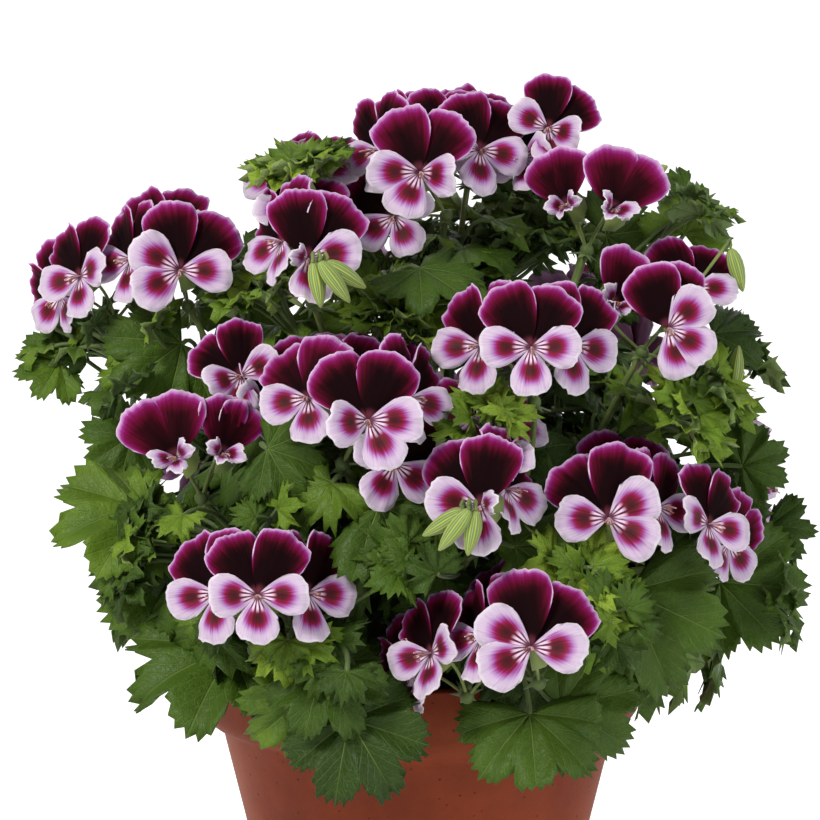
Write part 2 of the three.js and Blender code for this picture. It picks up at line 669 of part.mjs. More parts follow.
// A leaf in one closed body: a lobed blade, pleated along its veins, on a petiole that bends to
// its shoot. grow fattens it, to test that it stands clear.
function leafSolid({ junction, tip, normal, foot, outline }, grow = 0) {
  const shell = new Shell();
  const length = junction.distanceTo(tip);
  const d = tip.clone().sub(junction).normalize();
  const w = d.clone().cross(normal).normalize();
  const n = w.clone().cross(d);
  const thick = LEAF.thick + 2 * grow;
  const half = OUTLINES[outline];
  const left = half.filter(([angle]) => angle > 0).map(([angle, share]) => [-angle, share]).reverse();
  const places = [...half, ...left].map(([angle, share], i, all) => {
    const notch = i > 0 && i < all.length - 1 && share < 0.8;
    const lift = (notch ? LEAF.ruffle : -LEAF.ruffle * 0.4) - LEAF.droop * share * share;
    return junction.clone()
      .addScaledVector(d, Math.cos(rad(angle)) * share * length)
      .addScaledVector(w, Math.sin(rad(angle)) * share * length)
      .addScaledVector(n, lift * length + grow);
  });
  const side = LEAF.petiole * 0.75;
  const roots = [side, -side]
    .map((shift) => junction.clone().addScaledVector(w, shift).addScaledVector(n, grow));
  const lower = (point) => point.clone().addScaledVector(n, -thick);
  const [right, rightBack, leftRoot, leftBack] = [roots[0], lower(roots[0]), roots[1], lower(roots[1])]
    .map((point) => shell.add(point));
  const front = places.map((point) => shell.add(point));
  const back = places.map((point) => shell.add(lower(point)));
  const last = front.length - 1;
  const middle = Math.ceil(last / 2);
  const both = (a, b, c, a2, b2, c2) => {
    shell.face(a, b, c);
    shell.face(a2, c2, b2);
  };
  for (let i = 0; i < last; i += 1) {
    const [hub, hubBack] = i < middle ? [right, rightBack] : [leftRoot, leftBack];
    both(hub, front[i], front[i + 1], hubBack, back[i], back[i + 1]);
    shell.face(front[i + 1], front[i], back[i]);
    shell.face(front[i + 1], back[i], back[i + 1]);
  }
  both(right, front[middle], leftRoot, rightBack, back[middle], leftBack);
  shell.face(front[0], right, rightBack);
  shell.face(front[0], rightBack, back[0]);
  shell.face(leftRoot, front[last], back[last]);
  shell.face(leftRoot, back[last], leftBack);
  const reach = junction.distanceTo(foot);
  const centre = junction.clone().addScaledVector(n, -LEAF.thick / 2);
  const bend = centre.clone().addScaledVector(d, -0.28 * reach).addScaledVector(n, -0.08 * reach)
    .addScaledVector(UP, 0.14 * reach);
  const radius = LEAF.petiole + grow;
  stalk(shell, [right, leftRoot, leftBack, rightBack], [45, 135, 225, 315], centre, bend, foot, w, n,
    [[0.45, radius], [1, radius]]);
  return shell.solid();
}

// The places where a petiole could grow, the nearest first: one on each shoot, on the shoot's
// own part and rather below the leaf than above it.
function nearShoots(junction) {
  const feet = shoots.map((shoot) => {
    let best = { cost: Infinity };
    for (const [way, from, to] of shoot.ways) {
      for (let i = 0; i <= 12; i += 1) {
        const foot = way.getPoint(from + ((to - 0.03 - from) * i) / 12);
        const cost = junction.distanceTo(foot) + 0.8 * Math.max(0, foot.z + 6 - junction.z);
        if (cost < best.cost) best = { cost, shoot, foot };
      }
    }
    return best;
  });
  return feet.sort((a, b) => a.cost - b.cost).slice(0, LEAF.choices);
}

function shownLeaf([junctionPx, y, tipPx, tipY, roll, outline]) {
  const junction = spot(junctionPx, y);
  const tip = spot(tipPx, tipY);
  const d = tip.clone().sub(junction).normalize();
  const seen = VIEW.eye.clone().sub(junction).normalize().addScaledVector(UP, 0.35);
  const normal = seen.addScaledVector(d, -seen.dot(d)).normalize().applyAxisAngle(d, rad(roll));
  return { junction, tip, normal, outline };
}

// Leaf i of the spiral over the crown: it lies along the dome, its tip outwards and down.
function crownLeaf(i) {
  const { count, from, to, largest, smallest, share } = CROWN_LEAVES;
  const low = Math.sin(rad(from));
  const sine = low + ((Math.sin(rad(to)) - low) * (i + 0.5)) / count;
  const cosine = Math.sqrt(1 - sine * sine);
  const compass = rad(GOLDEN_ANGLE * i);
  const aim = vec(cosine * Math.cos(compass), cosine * Math.sin(compass), sine);
  const depth = share - 0.16 * ((i * 7) % 5) / 4;
  const junction = CROWN.middle.clone().add(aim.clone().multiply(CROWN.half).multiplyScalar(depth));
  const normal = aim.clone().addScaledVector(UP, 0.35).normalize();
  const down = UP.clone().multiplyScalar(-1).addScaledVector(aim, 0.4);
  const d = down.addScaledVector(normal, -down.dot(normal)).normalize();
  d.applyAxisAngle(normal, rad(((i * 5) % 7 - 3) * 22));
  const length = largest + (smallest - largest) * Math.max(0, sine);
  const tip = junction.clone().addScaledVector(d, length);
  return { junction, tip, normal, outline: 'small' };
}

function bent(leaf, [turn, shift]) {
  const d = leaf.tip.clone().sub(leaf.junction).applyAxisAngle(leaf.normal, rad(turn));
  const junction = leaf.junction.clone().addScaledVector(leaf.normal, shift);
  return { ...leaf, junction, tip: junction.clone().add(d) };
}

const group = new THREE.Group();

function piece(name, solid, colour, roughness) {
  const { vertProperties, triVerts } = solid.getMesh();
  const geometry = new THREE.BufferGeometry();
  geometry.setAttribute('position', new THREE.BufferAttribute(vertProperties, 3));
  geometry.setIndex(new THREE.BufferAttribute(triVerts, 1));
  geometry.computeVertexNormals();
  const material = new THREE.MeshStandardMaterial({ color: colour, roughness, metalness: 0 });
  const mesh = new THREE.Mesh(geometry, material);
  mesh.name = name;
  group.add(mesh);
}

const pot = potSolid();
const soil = soilSolid();
const headSolids = new Map([...heads].map(([name, head]) => [name, headSolid(head)]));

// Leaves are set one by one, each bent until it stands clear of all that is there already.
const standing = [pot, soil, ...headSolids.values()].map((solid) => ({ solid, owner: null }));
for (const shoot of shoots) standing.push({ solid: shoot.canes, owner: shoot });

function boxesMeet(a, b) {
  return a.min.every((low, k) => low <= b.max[k] && b.min[k] <= a.max[k]);
}

function isClear(leaf, mayCross) {
  const fat = leafSolid(leaf, LEAF.gap);
  const box = fat.boundingBox();
  return standing.every((other) => mayCross(other)
    || !boxesMeet(box, other.solid.boundingBox())
    || fat.intersect(other.solid).volume() < 1e-3);
}

// A leaf stands clear of all leaves. Only one that may fuse grows through leaves of its own shoot
// if it has to.
function setLeaf(leaf, mayFuse) {
  for (const fused of mayFuse ? [false, true] : [false]) {
    for (const bend of BENDS) {
      const placed = bent(leaf, bend);
      for (const { shoot, foot } of nearShoots(placed.junction)) {
        placed.foot = foot;
        if (isClear(placed, ({ owner, leaf: blade }) => owner === shoot && (fused || !blade))) {
          const solid = leafSolid(placed);
          shoot.leaves.push(solid);
          standing.push({ solid, owner: shoot, leaf: true });
          return true;
        }
      }
    }
  }
  return false;
}

for (const row of SHOWN_LEAVES) setLeaf(shownLeaf(row), true);
for (let i = 0; i < CROWN_LEAVES.count; i += 1) setLeaf(crownLeaf(i), false);

piece('pot', pot, 0x9c4a32, 0.85);
piece('soil', soil, 0x2b211a, 1);
for (const shoot of shoots) {
  piece('shoot_' + shoot.name, wasm.Manifold.union([shoot.canes, ...shoot.leaves]), 0x47682b, 0.6);
}
for (const [name, solid] of headSolids) piece('head_' + name, solid, 0x8a2c62, 0.55);

export default group;
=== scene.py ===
# %% [markdown]
# # A potted angel pelargonium
#
# A bushy plant in a clay pot. Its blooms have two velvety dark petals above and three pale ones
# below, and its leaves are fans with sharp teeth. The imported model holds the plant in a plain
# faceted form, with each leaf and bloom in its real place. This script sets fine pieces in the
# same places: it works out each place again from the same few numbers, shapes one leaf and one
# petal of each kind with care, and copies them.

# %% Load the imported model
import json
import math

import bpy
from mathutils import Matrix, Vector
from mathutils.bvhtree import BVHTree
from mathutils.kdtree import KDTree

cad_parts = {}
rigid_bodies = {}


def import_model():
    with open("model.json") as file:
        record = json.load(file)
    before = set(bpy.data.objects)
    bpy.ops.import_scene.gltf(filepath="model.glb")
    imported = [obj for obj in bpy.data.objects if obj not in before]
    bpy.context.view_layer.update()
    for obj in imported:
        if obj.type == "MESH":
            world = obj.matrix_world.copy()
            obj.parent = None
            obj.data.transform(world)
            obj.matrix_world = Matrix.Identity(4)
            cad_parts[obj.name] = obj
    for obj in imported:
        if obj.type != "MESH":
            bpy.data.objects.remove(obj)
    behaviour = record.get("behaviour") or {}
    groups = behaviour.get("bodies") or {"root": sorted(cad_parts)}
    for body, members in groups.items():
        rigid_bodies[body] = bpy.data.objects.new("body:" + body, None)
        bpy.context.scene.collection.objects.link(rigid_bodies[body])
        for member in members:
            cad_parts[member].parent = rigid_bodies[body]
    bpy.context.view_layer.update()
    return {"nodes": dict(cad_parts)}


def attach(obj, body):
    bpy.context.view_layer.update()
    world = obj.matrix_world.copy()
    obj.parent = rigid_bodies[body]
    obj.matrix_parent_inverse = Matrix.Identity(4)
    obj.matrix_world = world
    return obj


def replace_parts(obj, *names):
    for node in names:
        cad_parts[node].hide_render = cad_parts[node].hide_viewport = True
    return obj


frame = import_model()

MM = 0.001
UP = Vector((0, 0, 1))
print("the packed model has", len(frame["nodes"]), "pieces")

# %% [markdown]
# ## The view
#
# The photograph was taken from a little above the plant, from about a metre away with a long
# lens. Its eye, its pitch and its scale are known, so each pixel of it stands for a ray, and a
# thing that shows at a pixel lies on that ray, at a depth that is chosen so that the plant is
# round. Lengths are in millimetres until a mesh is made.

# %% The ray of a pixel
EYE = Vector((-2.9, -1045.6, 345.2))
PITCH = math.radians(7.1)
PICTURE = 820
FOCAL = 3012
AHEAD = Vector((0, math.cos(PITCH), -math.sin(PITCH)))
SKYWARD = Vector((0, math.sin(PITCH), math.cos(PITCH)))


def spot(px, py, y):
    """The place that shows at a pixel of the photograph, at depth y."""
    middle = PICTURE / 2
    ray = AHEAD + Vector((1, 0, 0)) * ((px - middle) / FOCAL) + SKYWARD * ((middle - py) / FOCAL)
    return EYE + ray * ((y - EYE.y) / ray.y)


print("the middle of the picture looks at", spot(410, 410, 0))

# %% [markdown]
# ## The heads of blooms
#
# A head is a group of blooms whose stalks meet in one knot, the umbel. Each bloom is described by
# the pixel of its throat, its depth, the way it faces (yaw, pitch and roll), its size and its
# form. A form says how the five petals stand: the clock angle of each and how far it leans out.
# The lower half of the photograph shows the upper heads again, turned left to right.

# %% How the petals of each form stand
# The clock angles of the five petals, upper two first, and the degrees that each leans out.
FORMS = {
    "open": ((-30, 30, 90, 180, 270), (-6, -6, 20, 22, 20)),
    "swept": ((-13, 45, 92, 237, 300), (-4, -10, 22, 24, 20)),
    "tucked": ((-12, 38, 80, 180, 285), (-4, -8, 18, 40, 66)),
    "raised": ((-24, 36, 100, 207, 270), (-6, -4, 52, 24, 20)),
    "leant": ((0, 58, 110, 178, 295), (-4, -8, 40, 30, 20)),
    "furled": ((-24, 24, 84, 180, 276), (12, 18, 62, 66, 62)),
    "folded": ((-15, 15, 80, 180, 280), (8, 14, 64, 68, 64)),
    "fan": ((-24, 12, 47, 122, 163), (10, 0, 20, 22, 16)),
}
print("forms of bloom:", ", ".join(FORMS))

# %% The heads in the upper half of the photograph
# A bloom is its pixel, its depth, its yaw, pitch and roll, its size and its form. An umbel, the
# tip of a bud and the hook that it hangs from are a pixel and a depth.
UPPER_HEADS = {
    "far_left": {
        "umbel": (116, 320, -10),
        "blooms": [
            (80, 276, -24, -44, 4, -16, 0.95, "open"),
            (60, 296, -6, -50, -12, -44, 0.9, "open"),
            (131, 259, -30, -52, 6, -12, 0.95, "open"),
        ],
    },
    "left": {
        "umbel": (188, 306, -14),
        "blooms": [
            (180, 270, -44, -4, 2, 0, 1.12, "swept"),
            (166, 236, -8, -10, 28, -10, 1, "open"),
        ],
    },
    "inner_left": {
        "umbel": (312, 302, -46),
        "blooms": [
            (308, 258, -76, 8, 0, 0, 1.08, "tucked"),
            (282, 241, -60, -54, 8, -28, 1.02, "open"),
            (300, 216, -44, -8, 42, 0, 0.95, "open"),
        ],
        "buds": [(321, 308, -90), (350, 303, -90), (366, 288, -84)],
        "hooks": [(313, 262, -92), (319, 261, -94), (325, 262, -92)],
    },
    "crest": {
        "umbel": (446, 216, -10),
        "blooms": [
            (420, 172, -44, 0, 2, 0, 1.08, "raised"),
            (379, 150, -26, -50, 4, -18, 0.95, "open"),
            (394, 216, -22, -14, -4, -34, 0.98, "open"),
        ],
    },
    "crest_back": {
        "umbel": (468, 182, 11),
        "blooms": [
            (480, 150, -27, 24, 12, 14, 1, "open"),
            (446, 138, -13, 4, 28, 0, 1, "open"),
            (404, 137, -1, -24, 26, -12, 1, "open"),
            (480, 128, 7, 16, 40, 8, 1, "open"),
        ],
    },
    "crest_left": {
        "umbel": (330, 214, 6),
        "blooms": [
            (316, 172, -14, -4, 42, 2, 1, "open"),
            (280, 178, -2, -44, 30, -22, 0.9, "open"),
        ],
    },
    "right_top": {
        "umbel": (587, 250, -22),
        "blooms": [
            (548, 128, -22, 0, 8, 0, 0.9, "leant"),
            (523, 158, -20, -34, 10, -24, 0.8, "open"),
            (567, 206, -38, -14, 8, -18, 0.92, "folded"),
            (612, 210, -42, 14, 10, 22, 1.02, "furled"),
        ],
        "buds": [(668, 166, -14)],
    },
    "middle": {
        "umbel": (534, 402, -74),
        "blooms": [
            (531, 347, -100, 0, 0, 0, 1, "open"),
            (481, 345, -86, -34, 4, -6, 1, "open"),
            (572, 345, -86, 34, 0, 10, 1, "open"),
        ],
    },
}
print("heads in the upper half:", len(UPPER_HEADS))

# %% The other heads
RIGHT_HEAD = {
    "umbel": (642, 352, -40),
    "blooms": [
        (612, 305, -54, 26, 14, 44, 0.95, "furled"),
        (668, 328, -66, 14, 0, 0, 1.05, "fan"),
        (692, 288, -42, 24, 30, 10, 0.95, "open"),
    ],
    "buds": [(743, 292, -34), (739, 345, -34)],
    "hooks": [(730, 248, -34), (734, 388, -34)],
}
# The mirrored heads' pixels add up to MIRROR_SUM with the upper ones', across the picture.
MIRROR_SUM = 788.5
MIRROR_DOWN = 248
MIRRORED_NEARER = {
    "far_left": -48, "left": -51, "inner_left": -42, "crest": -71,
    "crest_back": -66.5, "crest_left": -56, "right_top": -41, "middle": -18,
}
COPY_RIGHT = 351
COPY_DOWN = 377
COPIED_NEARER = {"far_left": -79, "left": -85}
# The heads that the photograph hides: compass angle, height angle and number of blooms.
HIDDEN_HEADS = {
    "side_left": (140, 14, 3),
    "back_left": (114, 42, 3),
    "back": (80, 20, 3),
    "back_right": (44, 34, 3),
    "side_right": (6, 14, 3),
}
CROWN_MIDDLE = Vector((0, 0, 165))
CROWN_HALF = Vector((124, 116, 150))


def moved(head, right, down, nearer, mirror):
    """A head shown once more: moved in the picture, nearer to the eye, and turned over or not."""
    sign = -1 if mirror else 1

    def place(row):
        px = MIRROR_SUM - row[0] if mirror else row[0] + right
        return (px, row[1] + down, row[2] + nearer)

    blooms = [
        (*place(row), sign * row[3], row[4], sign * row[5], row[6], row[7])
        for row in head["blooms"]
    ]
    return {
        "umbel": place(head["umbel"]),
        "blooms": blooms,
        "buds": [place(row) for row in head.get("buds", [])],
        "hooks": [place(row) for row in head.get("hooks", [])],
        "mirror": mirror,
    }


shown_heads = dict(UPPER_HEADS, right=RIGHT_HEAD)
for name, nearer in MIRRORED_NEARER.items():
    shown_heads[name + "_low"] = moved(UPPER_HEADS[name], 0, MIRROR_DOWN, nearer, True)
for name, nearer in COPIED_NEARER.items():
    shown_heads[name + "_front"] = moved(UPPER_HEADS[name], COPY_RIGHT, COPY_DOWN, nearer, False)
print("heads that the photograph shows:", len(shown_heads))

# %% [markdown]
# ## Where each bloom stands
#
# A bloom has a place p and three directions: u up along its face, r to its right and f out of its
# face. There are 71 blooms, too many to turn by hand, so the directions are worked out: for a
# bloom in the photograph from the line to the eye, and for a hidden one at the sides or the back
# from the crown's dome, which it stands on and looks out from.

# %% The frames of the blooms that show


def turned_pair(first, second, degrees):
    """Two directions at right angles, turned together from the first towards the second."""
    c, s = math.cos(math.radians(degrees)), math.sin(math.radians(degrees))
    return first * c + second * s, second * c - first * s


def photo_bloom(row, mirror):
    """A bloom of the photograph: it faces the eye, then is turned by its yaw, pitch and roll."""
    px, py, y, yaw, pitch, roll, size, form = row
    p = spot(px, py, y)
    seen = (EYE - p).normalized()
    level = UP.cross(seen).normalized()
    upright = seen.cross(level)
    facing, across = turned_pair(seen, level, yaw)
    f, over = turned_pair(facing, upright, pitch)
    u, r = turned_pair(over, across, roll)
    turn, lean = FORMS[form]
    if mirror:
        turn = (-turn[1], -turn[0], 360 - turn[4], 360 - turn[3], 360 - turn[2])
        lean = (lean[1], lean[0], lean[4], lean[3], lean[2])
    return {"p": p, "u": u, "r": r, "f": f, "size": size, "turn": turn, "lean": lean,
            "hand": -1 if mirror else 1}


def photo_head(head):
    """A head of the photograph with real places. A bud without a hook gets None for it."""
    mirror = head.get("mirror", False)
    buds = [spot(*row) for row in head.get("buds", [])]
    hooks = [spot(*row) for row in head.get("hooks", [])]
    return {
        "umbel": spot(*head["umbel"]),
        "blooms": [photo_bloom(row, mirror) for row in head["blooms"]],
        "buds": buds,
        "hooks": hooks or [None] * len(buds),
    }


heads = {name: photo_head(head) for name, head in shown_heads.items()}
print("blooms that show:", sum(len(head["blooms"]) for head in heads.values()))

# %% The frames of the hidden blooms
HIDDEN_UMBEL = 0.72
HIDDEN_REACH = 30
HIDDEN_SPREAD = 17
HIDDEN_TILT = 0.5
HIDDEN_SIZE = 0.98


def on_crown(compass, height):
    """The direction from the crown's middle at a compass angle and a height angle."""
    a, e = math.radians(compass), math.radians(height)
    return Vector((math.cos(e) * math.cos(a), math.cos(e) * math.sin(a), math.sin(e)))


def times(a, b):
    """Two vectors multiplied part by part."""
    return Vector((a.x * b.x, a.y * b.y, a.z * b.z))


def hidden_head(compass, height, count):
    """A head on the crown's dome: its blooms stand in a ring and tilt away from one another."""
    aim = on_crown(compass, height)
    umbel = CROWN_MIDDLE + times(aim, CROWN_HALF) * HIDDEN_UMBEL
    level = UP.cross(aim).normalized()
    upright = aim.cross(level)
    turn, lean = FORMS["open"]
    blooms = []
    for i in range(count):
        angle = math.radians(90 + 360 * i / count + compass)
        aside = level * math.cos(angle) + upright * math.sin(angle)
        p = umbel + aim * HIDDEN_REACH + aside * HIDDEN_SPREAD
        f = (aim + aside * HIDDEN_TILT).normalized()
        r = UP.cross(f).normalized()
        blooms.append({"p": p, "u": f.cross(r), "r": r, "f": f, "size": HIDDEN_SIZE,
                       "turn": turn, "lean": lean, "hand": 1})
    return {"umbel": umbel, "blooms": blooms, "buds": [], "hooks": []}


for name, row in HIDDEN_HEADS.items():
    heads[name] = hidden_head(*row)
print("heads:", len(heads), "blooms:", sum(len(head["blooms"]) for head in heads.values()))

# %% [markdown]
# ## The stalks
#
# Each shoot stands in the soil and rises in a curve to its first head. A second head hangs on a
# branch. A Bezier curve is fixed by where it starts and ends and by the directions there, so a
# foot, a head and an angle are enough for each stalk.

# %% The list of shoots
SOIL_TOP = 118
# Each shoot: where its foot stands, and its heads, with the angle at which its stalk arrives. A
# third number says how straight up the stalk starts.
SHOOTS = {
    "far_left": ((-42, -6), [("left", 62), ("far_left", 50)]),
    "inner_left": ((-20, -22), [("inner_left", 60)]),
    "crest": ((2, -12), [("crest", 78)]),
    "crest_back": ((10, 10), [("crest_back", 80), ("crest_left", 60)]),
    "right_top": ((26, -6), [("right_top", 70)]),
    "middle": ((14, -32), [("middle", 95)]),
    "right": ((44, -14), [("right", 60)]),
    "low_right": ((46, -32), [("left_low", 20), ("far_left_low", 8)]),
    "low_front": ((22, -52), [("left_front", -20, 0.75), ("far_left_front", -20, 0.5)]),
    "front": ((6, -46), [("inner_left_low", 20), ("crest_left_low", 40)]),
    "front_left": ((-12, -42), [("crest_low", 40), ("crest_back_low", 55)]),
    "low_left": ((-40, -30), [("right_top_low", 44)]),
    "low_front_left": ((-26, -52), [("middle_low", -10, 0.6)]),
    "side_left": ((-44, 22), [("side_left", 30), ("back_left", 60)]),
    "back": ((-4, 42), [("back", 40)]),
    "side_right": ((46, 18), [("side_right", 30), ("back_right", 60)]),
}
print("shoots:", len(SHOOTS))

# %% The ways of the stalks
SHOOT_RADIUS = 2
SHOOT_DEPTH = 24
BRANCH_RADIUS = 1.6
STEM_RADIUS = 1.1
STRAIGHT = 0.42
ARRIVE = 0.36
TIP_CUT = 0.74
BRANCH_FROM = 0.42
BRANCH_CUT = 0.5
LEAVES_FROM = 0.1
BRANCH_LEAVES_FROM = 0.2
STEM_STEPS = 8


def cubic(way, t):
    """The point at share t of a Bezier curve of four points."""
    a, b, c, d = way
    s = 1 - t
    return a * (s * s * s) + b * (3 * s * s * t) + c * (3 * s * t * t) + d * (t * t * t)


def quadratic(way, t):
    """The point at share t of a Bezier curve of three points."""
    a, b, c = way
    s = 1 - t
    return a * (s * s) + b * (2 * s * t) + c * (t * t)


def way_to(start, first, umbel, rise, straight=STRAIGHT):
    """The four points of a stalk that starts in one direction and arrives at a rising angle."""
    reach = (umbel - start).length
    level = Vector((umbel.x, umbel.y, 0)).normalized()
    arrive = level * math.cos(math.radians(rise)) + UP * math.sin(math.radians(rise))
    return (start, start + first * (straight * reach), umbel - arrive * (ARRIVE * reach), umbel)


def points_on(curve, way, start, end, steps):
    """Points at even shares of a curve, from one share of it to another."""
    return [curve(way, start + (end - start) * i / steps) for i in range(steps + 1)]


shoots = {}
for name, (foot, (tip_head, *branch_heads)) in SHOOTS.items():
    start = Vector((foot[0], foot[1], SOIL_TOP))
    tip_name, *tip_way = tip_head
    main = way_to(start, UP, heads[tip_name]["umbel"], *tip_way)
    ways = [(main, LEAVES_FROM, TIP_CUT, SHOOT_RADIUS)]
    heads[tip_name]["stem"] = points_on(cubic, main, TIP_CUT, 1, STEM_STEPS)
    for branch_name, *branch_way in branch_heads:
        origin = cubic(main, BRANCH_FROM)
        ahead = (cubic(main, BRANCH_FROM + 1e-3) - origin).normalized()
        branch = way_to(origin, ahead, heads[branch_name]["umbel"], *branch_way)
        ways.append((branch, BRANCH_LEAVES_FROM, BRANCH_CUT, BRANCH_RADIUS))
        heads[branch_name]["stem"] = points_on(cubic, branch, BRANCH_CUT, 1, STEM_STEPS)
    shoots[name] = {"ways": ways, "leaves": [], "petioles": []}
print("stalks with leaves:", sum(len(shoot["ways"]) for shoot in shoots.values()))

# %% [markdown]
# ## Making, copying and joining
#
# A leaf or a petal is shaped once, as a master, and each copy gets a mesh of its own that is
# turned and moved into its place. The copies of one shoot or one head are then joined in one
# piece. A number called tint goes with each copy, so that one material can give young leaves and
# old leaves their own green.

# %% Select, edit and finish a mesh


def choose(*things):
    """Makes these objects the only selected ones, and the first of them the active one."""
    bpy.ops.object.select_all(action="DESELECT")
    for thing in things:
        thing.select_set(True)
    bpy.context.view_layer.objects.active = things[0]


def whole_mesh_edit(thing, *steps):
    """Runs edit-mode operators on the whole of one mesh."""
    choose(thing)
    bpy.ops.object.mode_set(mode="EDIT")
    bpy.ops.mesh.select_all(action="SELECT")
    for operator, settings in steps:
        operator(**settings)
    bpy.ops.object.mode_set(mode="OBJECT")


def add_modifier(thing, kind, **settings):
    """Adds a modifier, sets it and applies it."""
    choose(thing)
    modifier = thing.modifiers.new(kind.title(), kind)
    for name, value in settings.items():
        setattr(modifier, name, value)
    bpy.ops.object.modifier_apply(modifier=modifier.name)


def added(name, primitive, **settings):
    """Adds one of Blender's primitives while nothing else is selected, and names it."""
    bpy.ops.object.select_all(action="DESELECT")
    primitive(**settings)
    made = bpy.context.object
    made.name = name
    return made


def linked(name, data):
    """A new object in the scene for a mesh, a curve, a lamp or a camera."""
    made = bpy.data.objects.new(name, data)
    bpy.context.scene.collection.objects.link(made)
    return made


print("helpers for one mesh are ready")

# %% Masters and copies
spares = []


def set_tint(mesh, value):
    """Gives every point of a mesh the same tint."""
    tint = mesh.attributes.get("tint") or mesh.attributes.new("tint", "FLOAT", "POINT")
    tint.data.foreach_set("value", [value] * len(mesh.vertices))


def mark_master(thing):
    """Gives a master its tint and keeps it to be deleted at the end."""
    set_tint(thing.data, 0.5)
    thing.data.shade_smooth()
    spares.append(thing)
    return thing


def copy_of(master, x, y, z, place, tint=0.5):
    """A copy of a master whose own axes lie along x, y and z, at a place in millimetres."""
    matrix = Matrix((x, y, z)).transposed().to_4x4() * MM
    matrix.translation = place * MM
    matrix[3][3] = 1
    mesh = master.data.copy()
    mesh.transform(matrix)
    if matrix.determinant() < 0:
        mesh.flip_normals()
    set_tint(mesh, tint)
    return linked(master.name + "_copy", mesh)


def joined(name, parts):
    """The parts in one object of this name."""
    choose(*parts)
    if len(parts) > 1:
        bpy.ops.object.join()
    made = bpy.context.view_layer.objects.active
    made.name = name
    made.data.name = name
    return made


print("helpers for masters are ready, and masters so far:", len(spares))

# %% Round stalks and a source of chance
CHANCE_STEPS = 2147483648


def tubes(name, lines, material, rounds=1):
    """Round stalks in one mesh: each line is its points and its radii, in millimetres."""
    curve = bpy.data.curves.new(name, "CURVE")
    curve.dimensions = "3D"
    curve.bevel_depth = MM
    curve.bevel_resolution = rounds
    curve.use_fill_caps = True
    for points, radii in lines:
        spline = curve.splines.new("POLY")
        spline.points.add(len(points) - 1)
        for corner, point, radius in zip(spline.points, points, radii):
            corner.co = (*(point * MM), 1)
            corner.radius = radius
    choose(linked(name, curve))
    bpy.ops.object.convert(target="MESH")
    made = bpy.context.object
    made.data.shade_smooth()
    made.data.materials.clear()
    made.data.materials.append(material)
    set_tint(made.data, 0.5)
    return made


class Chance:
    """A small source of chance that gives the same numbers each time."""

    def __init__(self, seed):
        self.state = seed

    def number(self, low=0.0, high=1.0):
        """The next number between two limits."""
        self.state = (self.state * 1103515245 + 12345) % CHANCE_STEPS
        return low + (high - low) * self.state / CHANCE_STEPS


print("the first of the numbers that seed 1 gives:", round(Chance(1).number(), 3))

# %% [markdown]
# ## Materials
#
# Each finish is worked out by nodes from the surface's own coordinates, with no image. Colours
# are written as hexadecimal sRGB numbers, as a paint program shows them, and turned into the
# linear numbers that a renderer needs.

# %% Helpers for materials
# Settings of the Math node, under the names that the finishes use for them.
TIMES, PLUS, MINUS, OVER, TIMES_PLUS, POWER = ({"operation": word} for word in (
    "MULTIPLY", "ADD", "SUBTRACT", "DIVIDE", "MULTIPLY_ADD", "POWER"))
LEAST, MOST, ZIGZAG, UNSIGNED, ROOT, ABOVE = ({"operation": word} for word in (
    "MINIMUM", "MAXIMUM", "PINGPONG", "ABSOLUTE", "SQRT", "GREATER_THAN"))
CLAMPED = {"use_clamp": True}
SMOOTH = {"interpolation_type": "SMOOTHSTEP"}
# In a Mix node of colours, input 0 is the second one's share, inputs 6 and 7 are the two colours,
# and output 2 is the mixed one. Inputs 1 to 4 of a MapRange node are its two ranges.
COLOURS = {"data_type": "RGBA"}
TINT = {"attribute_name": "tint"}
OWN_MAP = {"uv_map": "UVMap"}


def colour(text):
    """A hexadecimal sRGB colour as a linear one."""
    parts = [int(text[i:i + 2], 16) / 255 for i in (1, 3, 5)]
    linear = [p / 12.92 if p <= 0.04045 else ((p + 0.055) / 1.055) ** 2.4 for p in parts]
    return (*linear, 1)


def add_node(tree, kind, settings=None, inputs=(), stops=()):
    """Adds a node. Each input is a value, an output, or a node, which gives its first output."""
    made = tree.nodes.new("ShaderNode" + kind)
    for name, value in (settings or {}).items():
        setattr(made, name, value)
    for name, value in (inputs if isinstance(inputs, dict) else dict(enumerate(inputs))).items():
        source = value.outputs[0] if isinstance(value, bpy.types.Node) else value
        if isinstance(source, bpy.types.NodeSocket):
            tree.links.new(source, made.inputs[name])
        else:
            made.inputs[name].default_value = source
    if stops:
        ramp = made.color_ramp.elements
        ramp[0].position, ramp[1].position = 0, 1
        while len(ramp) < len(stops):
            ramp.new(0.5)
        for element, (position, _) in zip(ramp, stops):
            element.position = position
        for element, (_, text) in zip(ramp, stops):
            element.color = colour(text)
    return made


def scale_for(size):
    """The scale of a pattern on Object coordinates whose grains are this many millimetres wide."""
    return 1 / (size * MM)


def finish_named(name, roughness, **values):
    """A new material, and its shader with the values that are the same all over."""
    material = bpy.data.materials.new(name)
    material.use_nodes = True
    shader = material.node_tree.nodes["Principled BSDF"]
    shader.inputs["Roughness"].default_value = roughness
    for key, value in values.items():
        shader.inputs[key.replace("_", " ")].default_value = value
    return material, material.node_tree, shader


print("white is", colour("#ffffff"))

# %% [markdown]
# ### Petals
#
# The upper petals are velvet: tall cells catch the light between them, so the petals are matt and
# deep. They are nearly black in the middle, then wine red, magenta, and have a thin pale margin.
# The lower ones are pale lilac with a crimson blotch that feathers out along the veins. Object
# coordinates would lay such bands straight through a bloom. The petal's own UV map runs across it
# and from its root to its margin, so the bands and the veins follow the petal's shape.

# %% Where a point lies on its petal
PETAL_HALF_WIDTH = 12
# The veins stand out of both faces as fine ribs.
PETAL_RIBS = {"Strength": 0.35, "Distance": 0.3 * MM}


